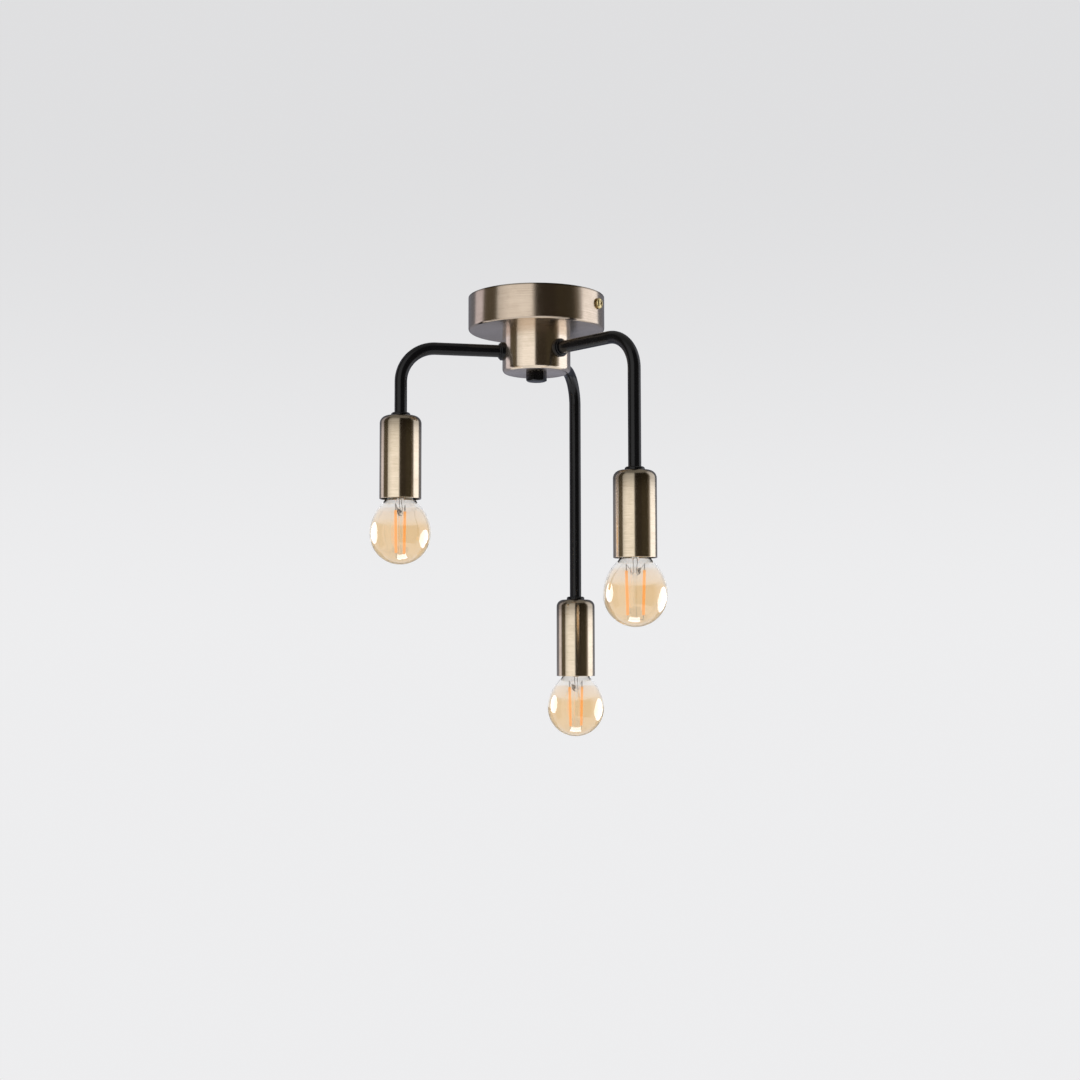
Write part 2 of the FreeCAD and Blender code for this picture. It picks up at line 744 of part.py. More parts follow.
def make_bulb_glass(name, heading, cup_depth, turn):
    """Thin golf-ball envelope, one wall throughout, with its neck inside the cap's skirt."""
    outer_edges, outer_bottom, outer_neck = envelope_outline(0)
    inner_edges, inner_bottom, inner_neck = envelope_outline(glass_wall)
    neck_top = cap_bottom + cap_skirt_length
    outer_top = Vector(outer_neck.x, 0, neck_top)
    inner_top = Vector(inner_neck.x, 0, neck_top)
    rim = [
        Part.LineSegment(outer_neck, outer_top).toShape(),
        Part.LineSegment(outer_top, inner_top).toShape(),
        Part.LineSegment(inner_top, inner_neck).toShape(),
        Part.LineSegment(inner_bottom, outer_bottom).toShape(),
    ]
    outline = Part.Wire(Part.__sortEdges__(outer_edges + inner_edges + rim))
    glass = Part.Face(outline).revolve(Vector(), Z_AXIS, 360)
    save(f"bulb_glass_{name}", at_cup(glass, heading, cup_depth, turn))


def lead_shapes():
    """Two support wires and the bridge below the filaments.

    Each support wire comes down from the cap, turns back up and outward inside the press,
    and is bent down again onto the end of its filament.
    """
    radius = lead_diameter / 2
    tail = tip_level - lead_tail_depth
    end_top = filament_top + lead_end_length
    end_bottom = filament_bottom - filament_end_length
    slope = (filament_spread_top - filament_spread_bottom) / 2 / filament_length
    high_spread = filament_spread_top / 2 + slope * lead_end_length
    low_spread = filament_spread_bottom / 2 - slope * filament_end_length
    leads = []
    for side in (-1, 1):
        foot = Vector(side * lead_spread / 2, 0, tail)
        knee = Vector(side * lead_spread / 2, 0, stem_end)
        head = Vector(side * high_spread, 0, end_top)
        top = Vector(side * filament_spread_top / 2, 0, filament_top)
        lead = bent_bar(radius, (foot, knee, head, top), (2 * lead_diameter, lead_diameter))
        leads.append(lead)
    low_left = Vector(-filament_spread_bottom / 2, 0, filament_bottom)
    corner_left = Vector(-low_spread, 0, end_bottom)
    corner_right = Vector(low_spread, 0, end_bottom)
    low_right = Vector(filament_spread_bottom / 2, 0, filament_bottom)
    route = (low_left, corner_left, corner_right, low_right)
    leads.append(bent_bar(radius, route, (lead_diameter, lead_diameter)))
    return leads


def make_bulb_inside(name, heading, cup_depth, turn):
    """Glass stem and rod, the wires through it and the two filaments."""
    leads = lead_shapes()
    flare_top = cap_bottom + cap_skirt_length / 2
    tube_start = flare_top - stem_flare_length
    tube = stem_tube_diameter / 2
    stem = turned((
        (stem_tube_bore / 2, flare_top),
        (stem_flare_diameter / 2, flare_top),
        (tube, tube_start, stem_flare_length),
        (tube, press_top),
        (0, press_top),
        (0, press_top + tube),
        (stem_tube_bore / 2, press_top + tube),
    ))
    press = turned((
        (0, stem_end),
        (stem_press_diameter / 2, stem_end, stem_press_rounding),
        (stem_press_diameter / 2, stem_end + stem_press_length / 2),
        (tube, press_top),
        (0, press_top),
    ))
    flats = Part.makeBox(
        stem_press_diameter, stem_press_thickness, stem_press_length + tube,
        Vector(-stem_press_diameter / 2, -stem_press_thickness / 2, stem_end),
    )
    rod_end = bulb_centre + rod_end_height
    middle_rod = Part.makeCylinder(rod_diameter / 2, stem_end - rod_end, Vector(0, 0, rod_end))
    stem = stem.fuse([press.common(flats), middle_rod]).cut(leads)
    save(f"bulb_stem_{name}", at_cup(stem, heading, cup_depth, turn))
    save(f"bulb_lead_wires_{name}", *[at_cup(lead, heading, cup_depth, turn) for lead in leads])
    filaments = []
    for side in (-1, 1):
        top = Vector(side * filament_spread_top / 2, 0, filament_top)
        bottom = Vector(side * filament_spread_bottom / 2, 0, filament_bottom)
        filaments.append(rod(filament_diameter / 2, bottom, top))
    save(f"bulb_filaments_{name}", *[at_cup(piece, heading, cup_depth, turn) for piece in filaments])


def make_bulb_cap(name, heading, cup_depth, turn):
    """Thin screw cap flared over the glass neck, its insulator and the centre tip."""
    thread = cap_diameter / 2
    skirt = cap_skirt_diameter / 2
    thread_top = cap_level - cap_top_chamfer
    flare_top = thread_top - cap_thread_length
    skirt_top = flare_top - cap_flare_length
    cap = turned((
        (thread - cap_top_chamfer, cap_level),
        (thread, thread_top),
        (thread, flare_top),
        (skirt, skirt_top),
        (skirt, cap_bottom),
        (skirt - cap_wall, cap_bottom),
        (skirt - cap_wall, skirt_top),
        (thread - cap_wall, flare_top),
        (thread - cap_wall, thread_top),
        (thread - cap_top_chamfer, cap_level - cap_wall),
    ))
    save(f"bulb_cap_{name}", at_cup(cap, heading, cup_depth, turn))
    seat = thread - cap_top_chamfer
    insulator = turned((
        (insulator_hole / 2 + running_clearance, insulator_level),
        (insulator_lip_diameter / 2, insulator_level),
        (seat, cap_level),
        (seat, insulator_level - insulator_length),
        (insulator_hole / 2 + running_clearance, insulator_level - insulator_length),
    ))
    save(f"bulb_insulator_{name}", at_cup(insulator, heading, cup_depth, turn))
    tip = turned((
        (0, tip_level),
        (insulator_hole / 2, tip_level, tip_rounding),
        (insulator_hole / 2, tip_level - tip_length),
        (0, tip_level - tip_length),
    ))
    save(f"bulb_tip_{name}", at_cup(tip, heading, cup_depth))


os.makedirs("parts", exist_ok=True)
make_bracket()
make_earth_screw()
make_canopy()
make_side_screws()
make_hub()
make_centre_clamp()
make_arm_nuts()
make_terminals()
make_grommets()
make_terminal_block()
block_entries = (
    block_centre_x + block_pitch,
    block_centre_x,
    block_centre_x - block_pitch,
)
for (name, heading, cup_depth, bulb_turn), entry in zip(arms, block_entries):
    make_arm_tube(name, heading, cup_depth)
    make_hub_collar(name, heading)
    make_lamp_cup(name, heading, cup_depth)
    make_cup_collar(name, heading, cup_depth)
    make_lampholder(name, heading, cup_depth)
    make_screw_shell(name, heading, cup_depth)
    make_centre_contact(name, heading, cup_depth)
    make_cable(name, heading, cup_depth, entry)
    make_bulb_glass(name, heading, cup_depth, bulb_turn)
    make_bulb_inside(name, heading, cup_depth, bulb_turn)
    make_bulb_cap(name, heading, cup_depth, bulb_turn)
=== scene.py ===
import math

import bmesh
import bpy
from mathutils import Matrix, Vector


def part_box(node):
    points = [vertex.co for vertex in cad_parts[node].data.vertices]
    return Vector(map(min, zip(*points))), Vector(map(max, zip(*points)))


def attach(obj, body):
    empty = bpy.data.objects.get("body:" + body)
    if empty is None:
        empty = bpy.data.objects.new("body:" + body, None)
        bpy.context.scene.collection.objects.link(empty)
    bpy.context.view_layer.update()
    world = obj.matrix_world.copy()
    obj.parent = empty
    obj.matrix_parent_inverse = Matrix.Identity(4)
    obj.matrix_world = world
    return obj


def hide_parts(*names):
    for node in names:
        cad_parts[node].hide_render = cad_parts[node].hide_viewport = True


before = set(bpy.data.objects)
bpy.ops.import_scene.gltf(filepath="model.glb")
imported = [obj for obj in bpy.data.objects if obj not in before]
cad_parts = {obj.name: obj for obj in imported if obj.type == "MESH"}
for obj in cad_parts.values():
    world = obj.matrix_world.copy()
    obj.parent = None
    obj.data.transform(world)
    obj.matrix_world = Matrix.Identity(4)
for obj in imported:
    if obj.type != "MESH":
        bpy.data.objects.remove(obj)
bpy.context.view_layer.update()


# ---------------------------------------------------------------- view and studio
# The light hangs free in a pale room and is seen from a little below level. Soft cards
# and dark flags stand round it, out of the view: they draw the upright bands on the
# brass and the white patches on the bulbs. All in metres, with the ceiling at height 0.

def add_node(tree, kind, inputs=None, **settings):
    """A node with its settings; each input takes a value or another node's output."""
    made = tree.nodes.new(kind)
    for name, value in settings.items():
        setattr(made, name, value)
    for name, value in (inputs or {}).items():
        if isinstance(value, bpy.types.NodeSocket):
            tree.links.new(value, made.inputs[name])
        else:
            made.inputs[name].default_value = value
    return made


def set_stops(ramp, stops, interpolation="LINEAR"):
    """Fill a colour ramp from (position, colour) pairs."""
    ramp.color_ramp.interpolation = interpolation
    elements = ramp.color_ramp.elements
    while len(elements) > 1:
        elements.remove(elements[-1])
    elements[0].position, colour = stops[0]
    elements[0].color = (*colour, 1.0)
    for position, colour in stops[1:]:
        elements.new(position).color = (*colour, 1.0)


def new_paint(name):
    """A new material with an empty node tree, and that tree."""
    made = bpy.data.materials.new(name)
    made.use_nodes = True
    made.node_tree.nodes.clear()
    return made, made.node_tree


def show(name, mesh):
    """A new object for a mesh, linked to the scene at the origin."""
    shown = bpy.data.objects.new(name, mesh)
    bpy.context.scene.collection.objects.link(shown)
    return shown


view_place = Vector((0.50808, -1.00484, -0.25480))
view_heading = math.radians(26.7)
view_pitch = math.radians(3.867)
view_roll = math.radians(-0.098)
camera_data = bpy.data.cameras.new("camera")
camera_data.sensor_width = 36.0
camera_data.lens = 51.55
camera = show("camera", camera_data)
upright = Matrix.Rotation(math.pi / 2 + view_pitch, 4, "X") @ Matrix.Rotation(view_roll, 4, "Z")
camera.matrix_world = Matrix.Translation(view_place) @ Matrix.Rotation(view_heading, 4, "Z") @ upright
bpy.context.scene.camera = camera
bpy.context.scene.view_settings.view_transform = "Standard"

wall_grey = (0.85, 0.85, 0.86)
ceiling_grey = (0.74, 0.74, 0.75)
wall_ends = 0.50
ceiling_begins = 0.66
room = bpy.data.worlds.new("pale_room")
room.use_nodes = True
room.node_tree.nodes.clear()
toward = add_node(room.node_tree, "ShaderNodeTexCoord")
height = add_node(room.node_tree, "ShaderNodeSeparateXYZ", {"Vector": toward.outputs["Generated"]})
rise = add_node(room.node_tree, "ShaderNodeMapRange", {
    "Value": height.outputs["Z"], "From Min": -1.0, "From Max": 1.0,
})
tone = add_node(room.node_tree, "ShaderNodeValToRGB", {"Fac": rise.outputs["Result"]})
set_stops(tone, ((wall_ends, wall_grey), (ceiling_begins, ceiling_grey)), "EASE")
glow = add_node(room.node_tree, "ShaderNodeBackground", {"Color": tone.outputs["Color"], "Strength": 1.0})
add_node(room.node_tree, "ShaderNodeOutputWorld", {"Surface": glow.outputs["Background"]})
bpy.context.scene.world = room

floor_level = -1.75
floor_radius = 12.0
floor_mesh = bpy.data.meshes.new("pale_floor")
grid = bmesh.new()
bmesh.ops.create_circle(grid, cap_ends=True, segments=96, radius=floor_radius)
bmesh.ops.translate(grid, vec=(0, 0, floor_level), verts=grid.verts)
grid.to_mesh(floor_mesh)
grid.free()
floor_paint, paint = new_paint("pale_floor")
matt = add_node(paint, "ShaderNodeBsdfDiffuse", {"Color": (0.70, 0.70, 0.74, 1)})
lit = add_node(paint, "ShaderNodeEmission", {"Color": (*wall_grey, 1), "Strength": 1.0})
ray = add_node(paint, "ShaderNodeLightPath")
clear = add_node(paint, "ShaderNodeMath", {
    0: ray.outputs["Is Transmission Ray"], 1: ray.outputs["Is Glossy Ray"],
}, operation="MAXIMUM")
seen = add_node(paint, "ShaderNodeMath", {
    0: ray.outputs["Is Camera Ray"], 1: clear.outputs[0],
}, operation="MAXIMUM")
either = add_node(paint, "ShaderNodeMixShader", {0: seen.outputs[0], 1: matt.outputs[0], 2: lit.outputs[0]})
add_node(paint, "ShaderNodeOutputMaterial", {"Surface": either.outputs[0]})
floor_mesh.materials.append(floor_paint)
pale_floor = show("pale_floor", floor_mesh)


def card(name, start, end, low, high, distance, paint):
    """An upright card that follows a circle round the light, between two headings in degrees."""
    degrees_a_step = 2.5
    steps = max(1, round(abs(end - start) / degrees_a_step))
    points = []
    for step in range(steps + 1):
        angle = math.radians(start + (end - start) * step / steps)
        for level in (low, high):
            points.append((distance * math.cos(angle), distance * math.sin(angle), level))
    faces = [(2 * s + 1, 2 * s + 3, 2 * s + 2, 2 * s) for s in range(steps)]
    return hidden_card(name, points, faces, paint)


def oval_card(name, middle, half_width, level, half_height, distance, paint, steps=48):
    """An upright oval card on a circle round the light; its widths are headings in degrees."""
    points = []
    for step in range(steps):
        turn = math.tau * step / steps
        angle = math.radians(middle + half_width * math.cos(turn))
        height = level + half_height * math.sin(turn)
        points.append((distance * math.cos(angle), distance * math.sin(angle), height))
    centre = math.radians(middle)
    points.append((distance * math.cos(centre), distance * math.sin(centre), level))
    return hidden_card(name, points, [(step, (step + 1) % steps, steps) for step in range(steps)], paint)


def hidden_card(name, points, faces, paint):
    """A card that lights the object and is mirrored in it, but isn't seen itself."""
    mesh = bpy.data.meshes.new(name)
    mesh.from_pydata(points, [], faces)
    mesh.materials.append(paint)
    made = show(name, mesh)
    made.visible_camera = False
    made.visible_transmission = False
    return made


def card_paint(name):
    """An empty material for a card, whose light is found by the rays that meet it."""
    made, tree = new_paint(name)
    made.cycles.emission_sampling = "NONE"
    return made, tree


ring_distance = 2.2
ring_top = 2.60
ring_fade_start = 0.30
ring_top_strength = 0.60
ring_edge = 1.8
glass_ceiling_start = 0.57
glass_ceiling_full = 0.66
glass_ceiling = (1.05, 1.04, 1.05, 1)
bands = (
    # from and to, as headings in degrees; the tone that brass mirrors; the tone that glass mirrors
    (-180.0, -163.0, (0.74, 0.71, 0.80), (0.80, 0.80, 0.82)),
    (-163.0, -131.0, (0.10, 0.085, 0.06), (0.50, 0.49, 0.47)),
    (-131.0, -120.0, (0.80, 0.79, 0.78), (0.80, 0.80, 0.80)),
    (-120.0, -110.0, (0.94, 0.93, 0.92), (0.80, 0.80, 0.80)),
    (-110.0, -67.5, (1.03, 1.02, 1.01), (0.80, 0.80, 0.80)),
    (-67.5, -30.0, (0.036, 0.029, 0.021), (0.22, 0.21, 0.20)),
    (-30.0, 4.0, (0.048, 0.040, 0.026), (0.22, 0.21, 0.20)),
    (4.0, 12.0, (0.13, 0.11, 0.08), (0.50, 0.49, 0.47)),
    (12.0, 19.0, (0.42, 0.41, 0.40), (0.70, 0.70, 0.70)),
    (19.0, 62.0, (1.30, 1.32, 1.40), (0.85, 0.85, 0.86)),
    (62.0, 173.0, (0.18, 0.19, 0.23), (0.85, 0.85, 0.86)),
    (173.0, 180.0, (0.74, 0.71, 0.80), (0.80, 0.80, 0.82)),
)
ring_paint, paint = card_paint("ring_of_bands")
place = add_node(paint, "ShaderNodeTexCoord")
split = add_node(paint, "ShaderNodeSeparateXYZ", {"Vector": place.outputs["Object"]})
heading = add_node(paint, "ShaderNodeMath", {
    0: split.outputs["Y"], 1: split.outputs["X"],
}, operation="ARCTAN2")
around = add_node(paint, "ShaderNodeMapRange", {
    "Value": heading.outputs[0], "From Min": -math.pi, "From Max": math.pi,
})
ramps = []
for tones in (2, 3):
    stops = []
    for band in bands:
        first, last = band[:2]
        stops.append(((first + 180 + ring_edge * (first > -180)) / 360, band[tones]))
        stops.append(((last + 180 - ring_edge * (last < 180)) / 360, band[tones]))
    ramps.append(add_node(paint, "ShaderNodeValToRGB", {"Fac": around.outputs["Result"]}))
    set_stops(ramps[-1], stops)
for_brass, for_glass = ramps
ray = add_node(paint, "ShaderNodeLightPath")
upper = add_node(paint, "ShaderNodeMapRange", {
    "Value": split.outputs["Z"], "From Min": glass_ceiling_start, "From Max": glass_ceiling_full,
}, interpolation_type="SMOOTHSTEP")
ceiling = add_node(paint, "ShaderNodeMix", {
    "Factor": upper.outputs["Result"], "A": for_glass.outputs["Color"], "B": glass_ceiling,
}, data_type="RGBA")
mirrored = add_node(paint, "ShaderNodeMix", {
    "Factor": ray.outputs["Is Singular Ray"],
    "A": for_brass.outputs["Color"], "B": ceiling.outputs["Result"],
}, data_type="RGBA")
for_matt = add_node(paint, "ShaderNodeMix", {
    "Factor": ray.outputs["Is Diffuse Ray"], "A": mirrored.outputs["Result"], "B": (*wall_grey, 1),
}, data_type="RGBA")
fade = add_node(paint, "ShaderNodeMapRange", {
    "Value": split.outputs["Z"], "From Min": ring_fade_start, "From Max": ring_top,
    "To Min": 1.0, "To Max": ring_top_strength,
}, interpolation_type="SMOOTHSTEP")
shine = add_node(paint, "ShaderNodeEmission", {
    "Color": for_matt.outputs["Result"], "Strength": fade.outputs["Result"],
})
add_node(paint, "ShaderNodeOutputMaterial", {"Surface": shine.outputs[0]})
card("ring_of_bands", -180, 180, floor_level, ring_top, ring_distance, ring_paint)

grey_paint, paint = card_paint("grey_cards")
shine = add_node(paint, "ShaderNodeEmission", {"Color": (0.34, 0.33, 0.31, 1), "Strength": 1.0})
add_node(paint, "ShaderNodeOutputMaterial", {"Surface": shine.outputs[0]})
lid = ring_distance + 0.1
lid_corners = [(lid, lid, ring_top), (lid, -lid, ring_top), (-lid, -lid, ring_top), (-lid, lid, ring_top)]
hidden_card("grey_lid", lid_corners, [(0, 1, 2, 3)], grey_paint)

lilac_paint, paint = card_paint("lilac_card")
ray = add_node(paint, "ShaderNodeLightPath")
shine = add_node(paint, "ShaderNodeEmission", {"Color": (0.26, 0.275, 0.34, 1), "Strength": 1.0})
amber = add_node(paint, "ShaderNodeEmission", {"Color": (0.45, 0.37, 0.28, 1), "Strength": 1.0})
either = add_node(paint, "ShaderNodeMixShader", {
    0: ray.outputs["Is Singular Ray"], 1: shine.outputs[0], 2: amber.outputs[0],
})
add_node(paint, "ShaderNodeOutputMaterial", {"Surface": either.outputs[0]})
lilac_foot = floor_level + 0.02
lilac_head = -0.36
card("lilac_card", 60, 172, lilac_foot, lilac_head, ring_distance - 0.1, lilac_paint)

white_paint, paint = card_paint("white_cards")
ray = add_node(paint, "ShaderNodeLightPath")
shine = add_node(paint, "ShaderNodeEmission", {"Color": (0.97, 0.99, 1.0, 1), "Strength": 4.5})
clear = add_node(paint, "ShaderNodeBsdfTransparent")
either = add_node(paint, "ShaderNodeMixShader", {
    0: ray.outputs["Is Singular Ray"], 1: clear.outputs[0], 2: shine.outputs[0],
})
add_node(paint, "ShaderNodeOutputMaterial", {"Surface": either.outputs[0]})
white_distance = ring_distance - 0.2
oval_card("white_card_left", -173, 22, -0.16, 0.62, white_distance, white_paint)
oval_card("white_card_right", 49, 29, -0.60, 0.76, white_distance, white_paint)
low_card_level = floor_level + 0.04
low_card = ((0.34, 0.10), (-0.26, -0.20), (-0.60, 0.48), (0.00, 0.78))
low_corners = [(x, y, low_card_level) for x, y in low_card]
hidden_card("white_card_low", low_corners, [(0, 3, 2, 1)], white_paint)


# ---------------------------------------------------------------- ceiling canopy
# A shallow cup spun from brass sheet, brushed round its axis and given an antique
# finish. It hides the bracket and is closed below, where the hub is clamped to it.

def rounded(corners, arc_steps=8):
    """Outline points from (radius, height[, rounding]) corners, each rounding as an arc."""
    points = []
    for index, corner in enumerate(corners):
        here = Vector(corner[:2])
        if len(corner) < 3:
            points.append(here)
            continue
        back = (Vector(corners[index - 1][:2]) - here).normalized()
        ahead = (Vector(corners[(index + 1) % len(corners)][:2]) - here).normalized()
        half = back.angle(ahead) / 2
        centre = here + (back + ahead).normalized() * corner[2] / math.sin(half)
        from_centre = here + back * corner[2] / math.tan(half) - centre
        to_centre = here + ahead * corner[2] / math.tan(half) - centre
        sweep = from_centre.angle_signed(to_centre)
        for step in range(arc_steps + 1):
            spoke = Matrix.Rotation(-sweep * step / arc_steps, 2) @ from_centre
            points.append(centre + spoke)
    return points


def turned(name, outline, steps=128, sharp=30.0):
    """A closed solid turned about Z from an outline that runs anticlockwise.

    Its UV map counts turns round the axis, and metres along the outline.
    """
    body = bmesh.new()
    uv = body.loops.layers.uv.new("turned")
    rings = []
    distances = [0.0]
    for index, (radius, level) in enumerate(outline):
        following = outline[(index + 1) % len(outline)]
        distances.append(distances[-1] + (Vector(following) - Vector((radius, level))).length)
        if radius < 1e-7:
            rings.append([body.verts.new((0, 0, level))] * (steps + 1))
            continue
        angles = [2 * math.pi * step / steps for step in range(steps)]
        ring = [body.verts.new((radius * math.cos(a), radius * math.sin(a), level)) for a in angles]
        rings.append(ring + ring[:1])
    for index, lower in enumerate(rings):
        upper = rings[(index + 1) % len(rings)]
        if lower[0] is lower[1] and upper[0] is upper[1]:
            continue
        for step in range(steps):
            corners = [
                (lower[step], step, index), (lower[step + 1], step + 1, index),
                (upper[step + 1], step + 1, index + 1), (upper[step], step, index + 1),
            ]
            kept = [c for place, c in enumerate(corners) if c[0] is not corners[place - 1][0]]
            face = body.faces.new([c[0] for c in kept])
            for loop, (_, turn, along) in zip(face.loops, kept):
                loop[uv].uv = (turn / steps, distances[along])
    mesh = bpy.data.meshes.new(name)
    body.to_mesh(mesh)
    body.free()
    mesh.shade_smooth()
    mesh.set_sharp_from_angle(angle=math.radians(sharp))
    return show(name, mesh)


def plain_mesh(piece, sharp=30.0):
    """Turn the modifiers' result into the piece's own mesh."""
    graph = bpy.context.evaluated_depsgraph_get()
    mesh = bpy.data.meshes.new_from_object(piece.evaluated_get(graph), depsgraph=graph)
    piece.modifiers.clear()
    piece.data = mesh
    mesh.shade_smooth()
    mesh.set_sharp_from_angle(angle=math.radians(sharp))


def drill(piece, holes):
    """Cut round holes, each given as (start, end, radius)."""
    drills = []
    for start, end, radius in holes:
        bit = bmesh.new()
        axis = Vector(end) - Vector(start)
        place = Matrix.Translation((Vector(start) + Vector(end)) / 2)
        bmesh.ops.create_cone(
            bit, cap_ends=True, segments=48, radius1=radius, radius2=radius, depth=axis.length,
            matrix=place @ axis.to_track_quat("Z", "Y").to_matrix().to_4x4(),
        )
        mesh = bpy.data.meshes.new("drill")
        bit.to_mesh(mesh)
        bit.free()
        drills.append(show("drill", mesh))
        cut = piece.modifiers.new("drill", "BOOLEAN")
        cut.operation = "DIFFERENCE"
        cut.solver = "EXACT"
        cut.object = drills[-1]
    plain_mesh(piece)
    for bit in drills:
        bpy.data.objects.remove(bit)


def outline_lengths(points):
    """How far each point of a closed outline lies along it, and the whole way round."""
    lengths = [0.0]
    for index, point in enumerate(points):
        lengths.append(lengths[-1] + (points[(index + 1) % len(points)] - point).length)
    return lengths


def brushed_brass(name, bright, dark, roughness, painted_shade=((0.0, 1.0),), around=1.0):
    """Antique brass, brushed round the axis: fine uneven rings, darker where the wheel cut deep.

    The last but one argument is painted shade: pairs of a place, in metres along the
    outline, and the tone that darkens the brass there. The outline is as long as `around`.
    """
    made, tree = new_paint(name)
    rings_a_metre = 5200.0
    spun = add_node(tree, "ShaderNodeUVMap", uv_map="turned")
    parts = add_node(tree, "ShaderNodeSeparateXYZ", {"Vector": spun.outputs["UV"]})
    turn = add_node(tree, "ShaderNodeMath", {0: parts.outputs["X"], 1: 2 * math.pi}, operation="MULTIPLY")
    across = add_node(tree, "ShaderNodeMath", {0: turn.outputs[0]}, operation="COSINE")
    along = add_node(tree, "ShaderNodeMath", {0: turn.outputs[0]}, operation="SINE")
    drawn = add_node(tree, "ShaderNodeMath", {
        0: parts.outputs["Y"], 1: rings_a_metre,
    }, operation="MULTIPLY")
    lines_at = add_node(tree, "ShaderNodeCombineXYZ", {
        "X": across.outputs[0], "Y": along.outputs[0], "Z": drawn.outputs[0],
    })
    lines = add_node(tree, "ShaderNodeTexNoise", {
        "Vector": lines_at.outputs[0], "Scale": 1.3, "Detail": 5.0, "Roughness": 0.7,
    })
    place = add_node(tree, "ShaderNodeTexCoord")
    patina = add_node(tree, "ShaderNodeTexNoise", {
        "Vector": place.outputs["Object"], "Scale": 70.0, "Detail": 4.0, "Roughness": 0.6,
    })
    worn = add_node(tree, "ShaderNodeMath", {0: patina.outputs["Fac"], 1: 0.45}, operation="MULTIPLY")
    both = add_node(tree, "ShaderNodeMath", {0: lines.outputs["Fac"], 1: worn.outputs[0]}, operation="ADD")
    tint = add_node(tree, "ShaderNodeValToRGB", {"Fac": both.outputs[0]})
    set_stops(tint, ((0.45, dark), (0.82, bright)))
    # Painted shade: a tone set along the outline darkens the brushed colour, multiplied in below.
    share = add_node(tree, "ShaderNodeMath", {0: parts.outputs["Y"], 1: around}, operation="DIVIDE")
    tone = add_node(tree, "ShaderNodeValToRGB", {"Fac": share.outputs[0]})
    set_stops(tone, [(reach / around, (grey, grey, grey)) for reach, grey in painted_shade])
    shaded_tint = add_node(tree, "ShaderNodeMix", {
        "Factor": 1.0, "A": tint.outputs["Color"], "B": tone.outputs["Color"],
    }, data_type="RGBA", blend_type="MULTIPLY")
    gloss = add_node(tree, "ShaderNodeMapRange", {
        "Value": both.outputs[0], "From Min": 0.45, "From Max": 0.95,
        "To Min": roughness + 0.06, "To Max": roughness - 0.04,
    })
    dent = add_node(tree, "ShaderNodeBump", {
        "Height": lines.outputs["Fac"], "Strength": 0.22, "Distance": 0.00004,
    })
    ring_way = add_node(tree, "ShaderNodeTangent", direction_type="UV_MAP", uv_map="turned")
    metal = add_node(tree, "ShaderNodeBsdfPrincipled", {
        "Base Color": shaded_tint.outputs["Result"], "Metallic": 1.0, "Roughness": gloss.outputs["Result"],
        "Anisotropic": 0.70, "Anisotropic Rotation": 0.25, "Normal": dent.outputs["Normal"],
        "Tangent": ring_way.outputs[0],
    })
    add_node(tree, "ShaderNodeOutputMaterial", {"Surface": metal.outputs[0]})
    return made


canopy_low, canopy_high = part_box("ceiling_canopy")
canopy_radius = (canopy_high.y - canopy_low.y) / 2
canopy_floor = canopy_low.z
canopy_wall = 0.0010
canopy_edge = 0.0020
canopy_lip = 0.0003
tube_hole = 0.0051
side_screw_hole = 0.0022
side_screw_level = -0.0090
cable_hole = 0.00285
cable_hole_reach = 0.0122
canopy_outline = rounded((
    (tube_hole, canopy_floor),
    (canopy_radius, canopy_floor, canopy_edge),
    (canopy_radius, 0.0, canopy_lip),
    (canopy_radius - canopy_wall, 0.0, canopy_lip),
    (canopy_radius - canopy_wall, canopy_floor + canopy_wall, canopy_edge - canopy_wall),
    (tube_hole, canopy_floor + canopy_wall),
))
canopy = turned("canopy", canopy_outline, steps=224)
lengths = outline_lengths(canopy_outline)
rim = lengths[[point.y > -canopy_lip - 1e-6 for point in canopy_outline].index(True)]
# Painted shade: a dark line along the top rim and a darker inside of the canopy.
canopy_painted_shade = (
    (0.0, 1.0), (rim - 0.0009, 1.0),
    (rim - 0.0003, 0.30), (rim + 0.0010, 0.30), (rim + 0.0030, 0.45),
)
# The canopy's brass is set darker than the hub's and cups': partly a pinker tone of its own, partly painted
# shade of the ceiling it meets.
canopy_brass = brushed_brass(
    "canopy_brass", (0.69, 0.575, 0.46), (0.48, 0.385, 0.29), 0.21, canopy_painted_shade, lengths[-1],
)
canopy.data.materials.append(canopy_brass)
arm_names = ("right", "back", "left")
past_wall = 0.004
canopy_holes = []
for side in (-1, 1):
    inside = (side * (canopy_radius - past_wall), 0, side_screw_level)
    outside = (side * (canopy_radius + past_wall), 0, side_screw_level)
    canopy_holes.append((inside, outside, side_screw_hole))
for name in arm_names:
    low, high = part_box(f"lamp_cup_{name}")
    hole = Vector((low.x + high.x, low.y + high.y, 0)).normalized() * cable_hole_reach
    below = hole + Vector((0, 0, canopy_floor - canopy_wall))
    above = hole + Vector((0, 0, canopy_floor + 2 * canopy_wall))
    canopy_holes.append((below, above, cable_hole))
drill(canopy, canopy_holes)
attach(canopy, "light")
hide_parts("ceiling_canopy")


# ---------------------------------------------------------------- canopy side screws
# Two pan head screws of yellow brass hold the canopy to the bracket, one each side.
# Each head has a cross recess and a rounded edge, and stands on a short neck.

def new_tree(name, **inputs):
    """An empty Geometry Nodes tree with these inputs, a mesh and a material, and its input node."""
    tree = bpy.data.node_groups.new(name, "GeometryNodeTree")
    tree.interface.new_socket("Geometry", in_out="INPUT", socket_type="NodeSocketGeometry")
    for label, kind in inputs.items():
        tree.interface.new_socket(label, in_out="INPUT", socket_type=f"NodeSocket{kind}")
    tree.interface.new_socket("Material", in_out="INPUT", socket_type="NodeSocketMaterial")
    tree.interface.new_socket("Geometry", in_out="OUTPUT", socket_type="NodeSocketGeometry")
    return tree, add_node(tree, "NodeGroupInput")


